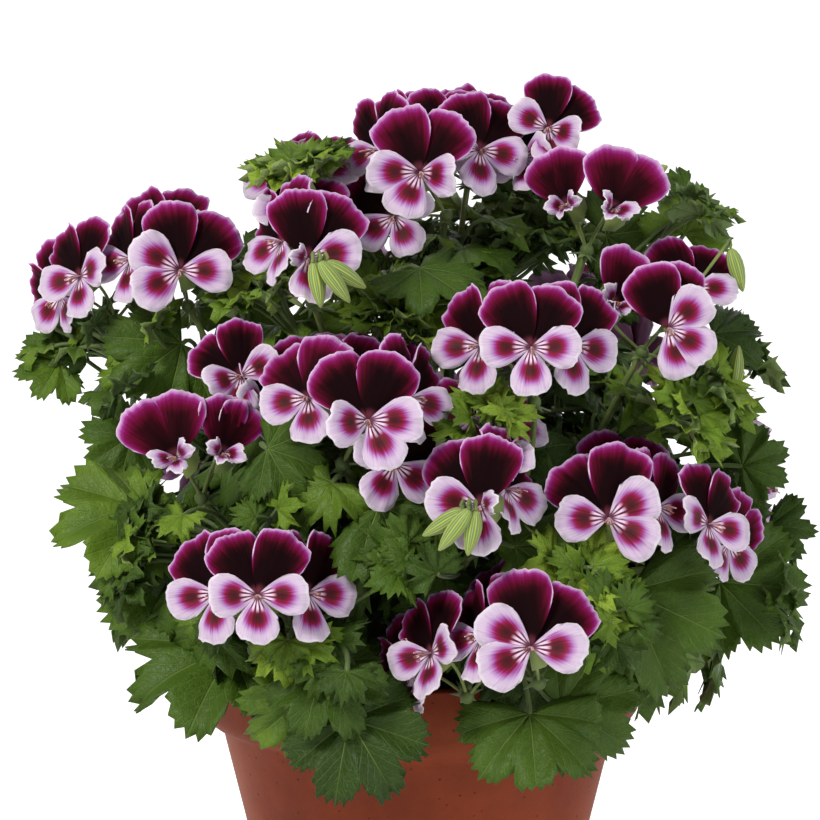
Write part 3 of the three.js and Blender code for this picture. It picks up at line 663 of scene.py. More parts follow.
def petal_coordinates(tree):
    """Across the petal (-1 to 1), along it (0 to 1), and how far in from its margin."""
    parts = add_node(tree, "SeparateXYZ", inputs=[add_node(tree, "UVMap", OWN_MAP)])
    along = parts.outputs[1]
    across = add_node(tree, "Math", TIMES_PLUS, (parts, 2, -1))
    ends = add_node(tree, "Math", MINUS, (1, along))
    aside = add_node(tree, "Math", MINUS, (1, add_node(tree, "Math", UNSIGNED, (across,))))
    widening = add_node(tree, "Math", TIMES, (along, 0.42))
    from_side = add_node(tree, "Math", TIMES, (aside, widening))
    rounding = add_node(tree, "Math", POWER, (ends, 1.4))
    near_root = add_node(tree, "Math", TIMES, (rounding, 0.55))
    sides = add_node(tree, "Math", PLUS, (from_side, near_root))
    return across, along, add_node(tree, "Math", LEAST, (ends, sides))


def vein_noise(tree, across, along, width):
    """Streaks from the root to the margin, this many millimetres wide in the petal's middle."""
    tint = add_node(tree, "Attribute", TINT).outputs["Fac"]
    place = add_node(tree, "CombineXYZ", inputs=(
        add_node(tree, "Math", TIMES, (across, PETAL_HALF_WIDTH / width)),
        add_node(tree, "Math", TIMES, (along, 1.2)),
        add_node(tree, "Math", TIMES, (tint, 40)),
    ))
    return add_node(tree, "TexNoise", inputs={
        "Vector": place, "Scale": 1, "Detail": 2, "Roughness": 0.55,
    })


print("streaks of 1 mm on a petal:", 2 * PETAL_HALF_WIDTH)

# %% The velvet of the upper petals


def velvet_petal():
    """Petal skin of tall, pointed cells: it drinks light, so it is deep, matt and hardly shines."""
    material, tree, shader = finish_named(
        "velvet upper petal", 0.75, Sheen_Weight=0.03, Sheen_Roughness=0.4,
        Sheen_Tint=colour("#c23a78"), Specular_IOR_Level=0.05,
    )
    across, along, margin = petal_coordinates(tree)
    # Streaks of 1.3 mm, each a bundle of veins, blur one colour into the next, but not the margin.
    streaks = vein_noise(tree, across, along, 4 / 3)
    shift = add_node(tree, "Math", TIMES_PLUS, (streaks, 0.19, -0.095))
    inside = add_node(tree, "Math", {**TIMES, **CLAMPED}, (margin, 6))
    fade = add_node(tree, "Math", TIMES, (shift, inside))
    # The older a bloom, the wider its pale margin: its tint squeezes the bands towards the middle.
    age = add_node(tree, "Attribute", TINT).outputs["Fac"]
    faded = add_node(tree, "Math", POWER, (age, 3))
    squeeze = add_node(tree, "Math", TIMES_PLUS, (faded, -0.33, 1))
    inwards = add_node(tree, "Math", PLUS, (margin, fade))
    depth = add_node(tree, "Math", TIMES, (inwards, squeeze))
    bands = add_node(tree, "ValToRGB", inputs=[depth], stops=[
        (0.0, "#e2c8e2"), (0.026, "#c184c2"), (0.052, "#93307c"), (0.09, "#7a124e"),
        (0.145, "#5c0a28"), (0.22, "#300610"), (0.31, "#160407"), (1.0, "#0d0204"),
    ])
    claw = add_node(tree, "MapRange", SMOOTH, (along, 0.04, 0.2, 0.8, 0))
    with_claw = add_node(tree, "Mix", COLOURS, {0: claw, 6: bands, 7: colour("#7a3848")})
    tree.links.new(with_claw.outputs[2], shader.inputs["Base Color"])
    ribs = add_node(tree, "Bump", inputs={**PETAL_RIBS, "Height": streaks})
    tree.links.new(ribs.outputs[0], shader.inputs["Normal"])
    return material


VELVET = velvet_petal()
print("finish:", VELVET.name)

# %% The pale lower petals


def pale_petal():
    """Thin petal skin with little dye: it is matt and milky, and its dyed veins show through."""
    material, tree, shader = finish_named(
        "pale lower petal", 0.6, Sheen_Weight=0.08, Sheen_Roughness=0.5, Specular_IOR_Level=0.2,
    )
    across, along, margin = petal_coordinates(tree)
    streaks = vein_noise(tree, across, along, 4 / 3)
    # The blotch is an oval about the petal's middle, with an edge that feathers by 0.8 mm streaks.
    wide = add_node(tree, "Math", OVER, (across, 0.56))
    from_middle = add_node(tree, "Math", MINUS, (along, 0.48))
    far = add_node(tree, "Math", OVER, (from_middle, 0.22))
    squares = add_node(tree, "Math", PLUS, (
        add_node(tree, "Math", TIMES, (wide, wide)), add_node(tree, "Math", TIMES, (far, far))))
    oval = add_node(tree, "Math", ROOT, (squares,))
    feathers = vein_noise(tree, across, along, 0.8)
    ragged = add_node(tree, "Math", TIMES_PLUS, (feathers, 0.8, -0.42))
    ragged_oval = add_node(tree, "Math", PLUS, (oval, ragged))
    reach = add_node(tree, "Math", TIMES, (ragged_oval, 0.5))
    blotch = add_node(tree, "ValToRGB", inputs=[reach], stops=[
        (0.0, "#3a060e"), (0.24, "#58071a"), (0.38, "#820b36"), (0.45, "#96185c"),
        (0.54, "#9e4c98"), (0.66, "#b88cc0"), (0.8, "#ccb5d0"), (1.0, "#d2c0d5"),
    ])
    # Between the blotch and the throat run a few dark lines, about 4 mm apart.
    lines = add_node(tree, "Math", ZIGZAG, (add_node(tree, "Math", TIMES, (across, 2.6)), 0.5))
    stripes = add_node(tree, "MapRange", SMOOTH, (lines, 0.2, 0.34, 0, 1))
    striped = add_node(tree, "Mix", COLOURS, {
        0: stripes, 6: colour("#eed6ea"), 7: colour("#5e0a34"),
    })
    inner = add_node(tree, "MapRange", SMOOTH, (along, 0.26, 0.4, 1, 0))
    unsigned = add_node(tree, "Math", UNSIGNED, (across,))
    core = add_node(tree, "MapRange", SMOOTH, (unsigned, 0.55, 0.85, 1, 0))
    near_throat = add_node(tree, "Math", TIMES, (inner, core))
    lined = add_node(tree, "Mix", COLOURS, {0: near_throat, 6: blotch, 7: striped.outputs[2]})
    root = add_node(tree, "MapRange", SMOOTH, (along, 0.08, 0.2, 0.9, 0))
    rooted = add_node(tree, "Mix", COLOURS, {0: root, 6: lined.outputs[2], 7: colour("#5c1230")})
    # Real veins are 0.1 mm wide, too fine to show, so they are drawn as threads of a third of one.
    threads = vein_noise(tree, across, along, 0.353)
    thread = add_node(tree, "MapRange", SMOOTH, (threads, 0.5, 0.7, 0, 0.5))
    outside = add_node(tree, "MapRange", SMOOTH, (reach, 0.45, 0.62, 0, 0.8))
    fine = add_node(tree, "Math", TIMES, (thread, outside))
    veined = add_node(tree, "Mix", COLOURS, {0: fine, 6: rooted.outputs[2], 7: colour("#a06cae")})
    edge = add_node(tree, "MapRange", SMOOTH, (margin, 0, 0.08, 0.85, 0))
    edged = add_node(tree, "Mix", COLOURS, {0: edge, 6: veined.outputs[2], 7: colour("#ece4ec")})
    tree.links.new(edged.outputs[2], shader.inputs["Base Color"])
    ribs = add_node(tree, "Bump", inputs={**PETAL_RIBS, "Height": streaks})
    tree.links.new(ribs.outputs[0], shader.inputs["Normal"])
    return material


PALE = pale_petal()
print("finish:", PALE.name)

# %% The backs of the petals


def petal_back():
    """The smoother back of a petal: paler than its face, for the dye lies under the other skin."""
    material, tree, shader = finish_named("petal back", 0.65, Specular_IOR_Level=0.2)
    across, along, margin = petal_coordinates(tree)
    streaks = vein_noise(tree, across, along, 1)
    shade = add_node(tree, "Math", TIMES_PLUS, (streaks, 0.25, margin))
    bands = add_node(tree, "ValToRGB", inputs=[shade], stops=[
        (0.0, "#d8b8da"), (0.2, "#b583b6"), (0.45, "#8c4480"), (1.0, "#6c2a58"),
    ])
    tree.links.new(bands.outputs[0], shader.inputs["Base Color"])
    ribs = add_node(tree, "Bump", inputs={**PETAL_RIBS, "Height": streaks})
    tree.links.new(ribs.outputs[0], shader.inputs["Normal"])
    return material


BACK = petal_back()
print("finish:", BACK.name)

# %% [markdown]
# ### Leaves
#
# A pelargonium's leaf has one main vein for each lobe, and side veins that leave it at a slant.
# The upper side is mid green and slightly glossy between fine hairs, and the underside is paler,
# with veins that stand proud. The leaf's UV map runs round it from one base corner to the other
# and from its stalk to its teeth, so the lobes' main veins lie at even steps of it.

# %% Leaf finishes
LOBES_ROUND = 6
STEP_WIDTH = 1.47
SIDE_VEINS = 7


def leaf_side(name, stops, vein_colour, vein_share, roughness):
    """One side of a leaf: a thin wax among short hairs gives it a satin look, and veins mark it."""
    material, tree, shader = finish_named(name, roughness, Specular_IOR_Level=0.22)
    parts = add_node(tree, "SeparateXYZ", inputs=[add_node(tree, "UVMap", OWN_MAP)])
    along = parts.outputs[1]
    place = add_node(tree, "TexCoord").outputs["Object"]
    # The main veins, one to a lobe, half a millimetre wide and thinner towards the teeth.
    lobes = add_node(tree, "Math", TIMES, (parts, LOBES_ROUND))
    from_vein = add_node(tree, "Math", ZIGZAG, (lobes, 0.5))
    fanned = add_node(tree, "Math", TIMES, (from_vein, along))
    aside = add_node(tree, "Math", TIMES, (fanned, STEP_WIDTH))
    thick = add_node(tree, "MapRange", SMOOTH, (aside, 0.006, 0.03, 1, 0))
    fading = add_node(tree, "MapRange", SMOOTH, (along, 0.2, 1, 1, 0.35))
    main = add_node(tree, "Math", TIMES, (thick, fading))
    # The side veins leave them at a slant, about 4 mm apart, and wander over stretches of 5 mm.
    wander = add_node(tree, "TexNoise", inputs={
        "Vector": place, "Scale": scale_for(5), "Detail": 2,
    })
    slant = add_node(tree, "Math", MINUS, (along, aside))
    wavy = add_node(tree, "Math", TIMES_PLUS, (wander, 0.08, slant))
    rows = add_node(tree, "Math", TIMES, (wavy, SIDE_VEINS))
    lines = add_node(tree, "Math", ZIGZAG, (rows, 0.5))
    side = add_node(tree, "MapRange", SMOOTH, (lines, 0.02, 0.12, 0.34, 0))
    # The net of finest veins has meshes of half a millimetre. It is drawn at 1.7 mm, to show.
    net = add_node(tree, "TexVoronoi", {"feature": "DISTANCE_TO_EDGE"}, {
        "Vector": place, "Scale": scale_for(5 / 3),
    })
    netted = add_node(tree, "MapRange", SMOOTH, (net, 0, 0.14, 0.14, 0))
    coarse = add_node(tree, "Math", MOST, (main, side))
    veins = add_node(tree, "Math", MOST, (coarse, netted))
    # The green goes by the leaf's own tint, and by patches of 14 mm about it.
    tint = add_node(tree, "Attribute", TINT).outputs["Fac"]
    patch = add_node(tree, "TexNoise", inputs={
        "Vector": place, "Scale": scale_for(14.3), "Detail": 4,
    })
    uneven = add_node(tree, "Math", TIMES_PLUS, (patch, 0.4, -0.2))
    age = add_node(tree, "Math", {**PLUS, **CLAMPED}, (tint, uneven))
    green = add_node(tree, "ValToRGB", inputs=[age], stops=stops)
    share = add_node(tree, "Math", TIMES, (veins, vein_share))
    mixed = add_node(tree, "Mix", COLOURS, {0: share, 6: green, 7: colour(vein_colour)})
    tree.links.new(mixed.outputs[2], shader.inputs["Base Color"])
    # The blade puffs up between its veins in bumps of 3 mm: out on top, and in on the underside.
    quilt = add_node(tree, "TexNoise", inputs={
        "Vector": place, "Scale": scale_for(3.03), "Detail": 3,
    })
    puffed = add_node(tree, "Math", TIMES, (quilt, 1.1))
    height = add_node(tree, "Math", MINUS, (puffed, veins))
    bump = add_node(tree, "Bump", {"invert": name == "leaf underside"}, {
        "Strength": 0.7, "Distance": 0.8 * MM, "Height": height,
    })
    tree.links.new(bump.outputs[0], shader.inputs["Normal"])
    return material


LEAF_TOP = leaf_side("leaf top", [
    (0.0, "#1a2b0a"), (0.3, "#2c4410"), (0.6, "#446018"), (0.85, "#6c8a24"), (1.0, "#93ad38"),
], "#859c50", 0.45, 0.45)
LEAF_BACK = leaf_side("leaf underside", [
    (0.0, "#4c6538"), (0.5, "#6d8750"), (1.0, "#9bb06a"),
], "#a9bb85", 0.6, 0.6)
print("finishes:", LEAF_TOP.name, "/", LEAF_BACK.name)

# %% [markdown]
# ### Stalks, buds, clay and soil
#
# Stalks are pale green, and their down of short hairs glows at the edges, as sheen does. The
# sepals of a bud have pale ribs. The pot is unglazed fired clay: it is matt, and shows clouds,
# dark grit and pits. Potting soil is peat and bark, dark when damp. Noise on Object coordinates
# suits what has no direction of its own, and the bud's ribs follow its UV map.

# %% Finishes in soft patches
DOWN = {"Sheen_Weight": 0.25, "Sheen_Roughness": 0.4}


def mottled(name, low, high, size, roughness=0.6):
    """Two colours in soft patches of a size in millimetres, under a sheen of hairs or fibres."""
    material, tree, shader = finish_named(name, roughness, **DOWN)
    noise = add_node(tree, "TexNoise", inputs={
        "Vector": add_node(tree, "TexCoord").outputs["Object"],
        "Scale": scale_for(size), "Detail": 4,
    })
    ramp = add_node(tree, "ValToRGB", inputs=[noise], stops=[(0.3, low), (0.7, high)])
    tree.links.new(ramp.outputs[0], shader.inputs["Base Color"])
    bump = add_node(tree, "Bump", inputs={"Strength": 0.4, "Distance": 0.3 * MM, "Height": noise})
    tree.links.new(bump.outputs[0], shader.inputs["Normal"])
    return material


STALK_GREEN = mottled("downy stalk", "#3f5522", "#6b8040", 11.1)
STEM_GREEN = mottled("young stem", "#55692c", "#8a9a4e", 8.33)
print("finishes:", STALK_GREEN.name, "/", STEM_GREEN.name)

# %% The ribbed skin of a bud
BUD_RIBS = 5


def ribbed_bud():
    """The sepals of a bud: pale ribs and margins on green, and the petals' purple at the tip."""
    material, tree, shader = finish_named("downy ribbed bud", 0.6, **DOWN)
    parts = add_node(tree, "SeparateXYZ", inputs=[add_node(tree, "UVMap", OWN_MAP)])
    ribs_round = add_node(tree, "Math", TIMES, (parts, 2 * BUD_RIBS))
    rib = add_node(tree, "Math", ZIGZAG, (ribs_round, 0.5))
    from_rib = add_node(tree, "Math", TIMES, (rib, 2))
    ramp = add_node(tree, "ValToRGB", inputs=[from_rib], stops=[
        (0.0, "#c2cc62"), (0.2, "#9caf4a"), (0.55, "#66803a"), (0.85, "#7f9650"), (1.0, "#b4bf86"),
    ])
    tip = add_node(tree, "MapRange", SMOOTH, (parts.outputs[1], 0.86, 0.97, 0, 1))
    mixed = add_node(tree, "Mix", COLOURS, {0: tip, 6: ramp, 7: colour("#8a5a6c")})
    tree.links.new(mixed.outputs[2], shader.inputs["Base Color"])
    return material


BUD_GREEN = ribbed_bud()
print("finish:", BUD_GREEN.name)

# %% Clay, soil and anthers


def fired_clay():
    """Earthenware without glaze: full of tiny pores, so it is matt, warm and a little cloudy."""
    material, tree, shader = finish_named("unglazed fired clay", 0.6, Specular_IOR_Level=0.2)
    place = add_node(tree, "TexCoord").outputs["Object"]
    # The fire and the damp leave clouds about 70 mm wide.
    cloud = add_node(tree, "TexNoise", inputs={
        "Vector": place, "Scale": scale_for(71.4), "Detail": 6, "Roughness": 0.6,
    })
    body = add_node(tree, "ValToRGB", inputs=[cloud], stops=[
        (0.3, "#6a2810"), (0.5, "#843719"), (0.7, "#9c4a26"),
    ])
    # Of dark grit and pits, 2.4 mm apart, one in five shows.
    grain = add_node(tree, "TexVoronoi", inputs={"Vector": place, "Scale": scale_for(2.38)})
    speck = add_node(tree, "MapRange", inputs=(grain, 0.08, 0.26, 0.8, 0))
    lot = add_node(tree, "SeparateXYZ", inputs=[grain.outputs["Color"]])
    chosen = add_node(tree, "Math", ABOVE, (lot, 0.78))
    pit = add_node(tree, "Math", TIMES, (speck, chosen))
    specked = add_node(tree, "Mix", COLOURS, {0: pit, 6: body, 7: colour("#33130c")})
    tree.links.new(specked.outputs[2], shader.inputs["Base Color"])
    # The grain of the clay itself is far below a pixel, and is drawn at 1.4 mm.
    fine = add_node(tree, "TexNoise", inputs={
        "Vector": place, "Scale": scale_for(10 / 7), "Detail": 4,
    })
    sunk = add_node(tree, "Math", TIMES, (pit, 1.5))
    height = add_node(tree, "Math", MINUS, (fine, sunk))
    bump = add_node(tree, "Bump", inputs={"Strength": 0.5, "Distance": 0.3 * MM, "Height": height})
    tree.links.new(bump.outputs[0], shader.inputs["Normal"])
    return material


CLAY = fired_clay()
SOIL_BROWN = mottled("damp potting soil", "#17110c", "#3a2a1d", 2.38, 0.95)
STYLE_PALE = mottled("style and filaments", "#c9909a", "#e6ccd2", 5, 0.5)
ANTHER = mottled("anthers", "#8a4a30", "#b47a50", 2, 0.7)
print("finishes:", CLAY.name, "/", SOIL_BROWN.name, "/", STYLE_PALE.name, "/", ANTHER.name)

# %% [markdown]
# ## The pot
#
# A clay pot is pressed or thrown: a round wall that tapers to its foot, and a deep collar, so that
# pots can be stacked. Its half section is drawn once and spun about its axis. The section's
# corners are rounded, because fired clay has no sharp edge.

# %% Spin the pot
POT_SECTION = [
    (0, 0), (42, 0), (43.6, 0.5), (44.3, 1.6), (69.3, 104.2), (70, 105.2), (73.8, 106.9),
    (75.6, 108.3), (77.6, 111.2), (78.4, 114.2), (79.9, 130.2), (79.7, 131.4), (78.9, 132),
    (75.2, 132), (74.2, 131.7), (73.4, 130.6), (72.6, 118), (63.8, 103), (62.6, 100),
    (40.2, 9.6), (38.6, 8), (0, 8),
]


def spun(name, section, steps):
    """A section of (radius, height) points, spun once about the upright axis."""
    mesh = bpy.data.meshes.new(name)
    places = [(radius * MM, 0, height * MM) for radius, height in section]
    mesh.from_pydata(places, [(i, i + 1) for i in range(len(places) - 1)], [])
    made = linked(name, mesh)
    whole_mesh_edit(
        made,
        (bpy.ops.mesh.spin, {
            "steps": steps, "angle": math.tau, "center": (0, 0, 0), "axis": (0, 0, 1),
        }),
        (bpy.ops.mesh.select_all, {"action": "SELECT"}),
        (bpy.ops.mesh.remove_doubles, {"threshold": 0.01 * MM}),
        (bpy.ops.mesh.normals_make_consistent, {"inside": False}),
    )
    return made


pot = spun("clay_pot", POT_SECTION, 144)
choose(pot)
bpy.ops.object.shade_smooth_by_angle(angle=math.radians(40))
pot.data.materials.append(CLAY)
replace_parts(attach(pot, "root"), "pot")
print("the pot has", len(pot.data.polygons), "faces")

# %% [markdown]
# ## The soil
#
# Potting soil is level but crumbly. A round plug is spun to fit inside the pot, its top is cut
# into small faces, and a displacement by noise gives it crumbs.

# %% Spin and roughen the soil
SOIL_RINGS = 12
SOIL_LEVEL = 117.6
SOIL_SECTION = [(0, 8.3), (38, 8.3), (62.2, 102.5)]
SOIL_SECTION += [(72 * (SOIL_RINGS - i) / SOIL_RINGS, SOIL_LEVEL) for i in range(SOIL_RINGS + 1)]
soil = spun("potting_soil", SOIL_SECTION, 96)
lumps = bpy.data.textures.new("soil lumps", "CLOUDS")
lumps.noise_scale = 6 * MM
on_top = [v.index for v in soil.data.vertices if v.co.z > (SOIL_LEVEL - 1) * MM]
soil.vertex_groups.new(name="top").add(on_top, 1, "REPLACE")
add_modifier(soil, "DISPLACE", texture=lumps, texture_coords="LOCAL", strength=4 * MM,
             mid_level=0.5, direction="Z", vertex_group="top")
soil.data.shade_smooth()
soil.data.materials.append(SOIL_BROWN)
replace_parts(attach(soil, "root"), "soil")
print("the soil has", len(soil.data.polygons), "faces")

# %% [markdown]
# ## Petals
#
# A petal is a fan: it grows from a narrow claw and its veins spread to a round, slightly nicked
# margin. Sculpting would give one such petal, but a formula gives any number of them, each with
# waves of its own. A grid is added, its near row is drawn together into the claw, and its other
# points are moved by the formula. The sheet is then given a petal's thickness.

# %% Shape the petals
PETAL_THICKNESS = 0.4
FRILL = 0.014
UPPER = {"length": 21.7, "spread": 36, "fall": 0.36, "power": 4.2, "swell": 0.34, "scallop": 0.016}
LOWER = {"length": 16.3, "spread": 39, "fall": 0.4, "power": 3.4, "swell": 0.2, "scallop": 0.006}


def fan_grid(name, columns, rows, place):
    """A grid bent by place(across, along, column), with its near row closed to a point."""
    made = added(name, bpy.ops.mesh.primitive_grid_add,
                 x_subdivisions=columns, y_subdivisions=rows, size=1)
    for vertex in made.data.vertices:
        column = round((vertex.co.x + 0.5) * columns)
        row = round((vertex.co.y + 0.5) * rows)
        vertex.co = place(column / columns, row / rows, column)
    whole_mesh_edit(made, (bpy.ops.mesh.remove_doubles, {"threshold": 1e-4}))
    return made


def petal_master(name, kind, front, columns, rows, seed):
    """One petal shape in millimetres: its face looks along z and its tip points along y."""
    chance = Chance(seed)
    phase = [chance.number(0, math.tau) for _ in range(3)]
    cup = chance.number(-1.2, 0.6)
    nick = [chance.number(-FRILL, FRILL) for _ in range(columns + 1)]

    def place(across, s, column):
        u = 2 * across - 1
        # The margin: a round outline, with shallow scallops and a small nick at each column.
        reach = kind["length"] * (1 - kind["fall"] * abs(u) ** kind["power"])
        reach *= 1 + kind["scallop"] * math.sin(8.5 * u + phase[2]) * s ** 4
        reach *= 1 + nick[column] * s ** 9
        angle = math.radians(kind["spread"] * u * (1 + kind["swell"] * (1 - s)))
        # The face: a cup, waves that grow towards the margin, and an end that bends back.
        wave = 1.0 * math.sin(3.4 * u + phase[0]) + 0.6 * math.sin(8 * u + phase[1])
        wave += 0.35 * math.sin(19 * u + phase[2])
        z = cup * s * s + wave * s ** 3 - 0.5 * u * u * s - 2.7 * max(0, s - 0.7) * (1 - u * u)
        return Vector((s * reach * math.sin(angle), s * reach * math.cos(angle), z))

    made = fan_grid(name, columns, rows, place)
    made.data.materials.append(front)
    made.data.materials.append(BACK)
    add_modifier(made, "SOLIDIFY", thickness=PETAL_THICKNESS, offset=-1, material_offset=1,
                 use_even_offset=False)
    return mark_master(made)


upper_petals = [petal_master(f"upper_petal_{k}", UPPER, VELVET, 26, 8, 11 + k) for k in range(5)]
lower_petals = [petal_master(f"lower_petal_{k}", LOWER, PALE, 20, 7, 31 + k) for k in range(5)]
print("an upper petal has", len(upper_petals[0].data.polygons), "faces")

# %% [markdown]
# ## Behind and inside the petals
#
# Five narrow sepals hold the bloom from behind. A disc is added and its rim is drawn out into a
# star, where every second point is a sepal's tip that bends back. The bracts round an umbel are
# such a star too. A bud is a ball that is drawn long and squeezed into its sepals' ribs. In the
# throat stand a pale style and a few stamens with rusty anthers.

# %% Shape the calyx
DISC = 0.6
SEPAL_THICKNESS = 0.4


def star_master(name, points, tip, dip, cup, bend, material):
    """A star with pointed rays: a disc whose rim is drawn out to the tips and the dips between."""
    made = added(name, bpy.ops.mesh.primitive_circle_add,
                 vertices=2 * points, radius=DISC, fill_type="NGON")
    whole_mesh_edit(made, (bpy.ops.mesh.inset, {"thickness": DISC / 3}))
    mesh = made.data
    rim = [v for v in mesh.vertices if v.co.length > 0.9 * DISC]
    for vertex in rim:
        turn = round(math.atan2(vertex.co.y, vertex.co.x) / (math.pi / points)) % 2
        reach = tip if turn == 0 else dip
        flat = vertex.co.normalized() * reach
        vertex.co = Vector((flat.x, flat.y, -bend * (reach / tip) ** 2))
    for vertex in mesh.vertices:
        if vertex not in rim:
            vertex.co.z = cup
    mesh.materials.append(material)
    add_modifier(made, "SOLIDIFY", thickness=SEPAL_THICKNESS, offset=0)
    return mark_master(made)


calyx_master = star_master("calyx", 5, 6.5, 1.2, 0.4, 3.2, STEM_GREEN)
bract_master = star_master("bracts", 6, 5.5, 1.9, 0.5, 1.6, STALK_GREEN)
print("the calyx has", len(calyx_master.data.polygons), "faces")

# %% Shape a bud
BUD_LENGTH = 14
BUD_RADIUS = 2.9


def bud_master():
    """A closed bud: a long ball, squeezed into ribs and drawn to a point."""
    made = added("bud", bpy.ops.mesh.primitive_uv_sphere_add, segments=20, ring_count=10, radius=1)
    for vertex in made.data.vertices:
        angle = math.atan2(vertex.co.y, vertex.co.x)
        share = (vertex.co.z + 1) / 2
        girth = BUD_RADIUS * (1 + 0.14 * math.cos(BUD_RIBS * angle)) * (1 - 0.5 * share ** 2)
        vertex.co.x *= girth
        vertex.co.y *= girth
        vertex.co.z = BUD_LENGTH * share
    made.data.materials.append(BUD_GREEN)
    return mark_master(made)


bud = bud_master()
print("the bud has", len(bud.data.polygons), "faces")

# %% Shape an anther and a knot
anther = added("anther", bpy.ops.mesh.primitive_ico_sphere_add, subdivisions=1, radius=0.55)
anther.scale = (1, 0.6, 1.5)
bpy.ops.object.transform_apply(location=True, rotation=True, scale=True)
anther.data.materials.append(ANTHER)
knot = added("knot", bpy.ops.mesh.primitive_uv_sphere_add, segments=10, ring_count=8, radius=2.4)
knot.data.materials.append(STALK_GREEN)
for small_master in (anther, knot):
    mark_master(small_master)
print("masters so far:", len(spares))

# %% [markdown]
# ## Put the heads together
#
# Each petal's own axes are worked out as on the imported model: it points along its clock angle,
# leans out of the bloom's face and twists a little, so that the two upper petals overlap like
# tiles. The petals of a head are one piece, and its stems, calyces and buds are another.

# %% Set out the petals
HALF_OPEN = 62
HALF_OPEN_WIDTH = 0.5
HALF_OPEN_LENGTH = 0.66
TWIST = 7


def bloom_petals(bloom, chance):
    """The five petals of a bloom. A half-open one is small below and has the widest margins."""
    tint = chance.number()
    if min(bloom["lean"][2:]) >= HALF_OPEN:
        tint = 1
    parts = []
    for i, (turn, lean) in enumerate(zip(bloom["turn"], bloom["lean"])):
        out, side = turned_pair(bloom["u"], bloom["r"], turn)
        along, face = turned_pair(out, bloom["f"], lean)
        across, _ = turned_pair(side, face, TWIST * bloom["hand"] if i < 2 else 0)
        masters = upper_petals if i < 2 else lower_petals
        master = masters[int(chance.number(0, len(masters) - 0.001))]
        size = bloom["size"]
        wide, tall = size * chance.number(0.95, 1.05), size * chance.number(0.96, 1.03)
        if lean >= HALF_OPEN:
            wide *= HALF_OPEN_WIDTH
            tall *= HALF_OPEN_LENGTH
        normal = across.cross(along) * size
        parts.append(copy_of(master, across * wide, along * tall, normal, bloom["p"], tint))
    return parts


chance = Chance(20)
print("a bloom half open has its lower petals leant by", HALF_OPEN, "degrees or more")

# %% The stalk, the stamens and the buds of a bloom
CAD_PETAL_THICKNESS = 0.7
PEDICEL_RADII = [1.3, 1.25, 1.15, 0.95] + [0.55] * 7
KNOT_HIDES = 1.4
BUD_STALK_RADIUS = 0.6
FILAMENT_RADIUS = 0.24
STAMENS = 4
STYLE_LENGTH = 8
FILAMENT_LENGTHS = (4.5, 6.5)


def bloom_stalk(bloom, umbel):
    """The bloom's own stalk with the swollen tube under its calyx: points and radii."""
    back = bloom["p"] - bloom["f"] * CAD_PETAL_THICKNESS
    bend = back - bloom["f"] * (0.45 * (back - umbel).length)
    foot = umbel.lerp(bend, KNOT_HIDES / (bend - umbel).length)
    return points_on(quadratic, (back, bend, foot), 0, 1, len(PEDICEL_RADII) - 1), PEDICEL_RADII


def stamens(bloom, chance):
    """A style and the filaments that bend down out of the throat, and the anthers on them."""
    lines, tips = [], []
    for i in range(STAMENS + 1):
        # The style comes first. Each thread starts straight and droops at its end.
        aside = bloom["r"] * chance.number(-1.6, 1.6)
        reach = chance.number(*FILAMENT_LENGTHS) if i else STYLE_LENGTH
        end = bloom["p"] + bloom["f"] * reach - bloom["u"] * chance.number(0.5, 2.6) + aside
        middle = bloom["p"] + bloom["f"] * (reach * 0.6) + aside * 0.4
        points = points_on(quadratic, (bloom["p"], middle, end), 0, 1, 4)
        lines.append((points, [FILAMENT_RADIUS] * len(points)))
        if i:
            tips.append(copy_of(anther, bloom["r"], bloom["u"], bloom["f"], end))
    return lines, tips


def set_bud(tip, hook, umbel, lines):
    """A nodding bud: its stalk rises to the hook, and the bud hangs from there to its tip."""
    if hook is None:
        # The stalk arches over by itself, and the bud goes on along the arch.
        hook = umbel.lerp(tip, 0.45) + UP * (0.35 * (umbel - tip).length)
        points = points_on(quadratic, (umbel, hook, tip), 0, 0.6, 8)
    else:
        # The stalk comes up in front, passes just over the hook and turns down into the bud.
        bend = hook + UP * 3
        middle = umbel.lerp(bend, 0.5) - Vector((0, 8, 0))
        points = points_on(quadratic, (umbel, middle, bend), 0, 1, 8)
        points += [hook + UP * 2 + (tip - hook) * 0.06, hook]
    lines.append((points, [BUD_STALK_RADIUS] * len(points)))
    hang = tip - points[-1]
    z = hang.normalized()
    x = z.cross(Vector((0, 1, 0))).normalized()
    return copy_of(bud, x, z.cross(x), z * (hang.length / BUD_LENGTH), points[-1])


print("a bloom has", STAMENS, "stamens and a style")

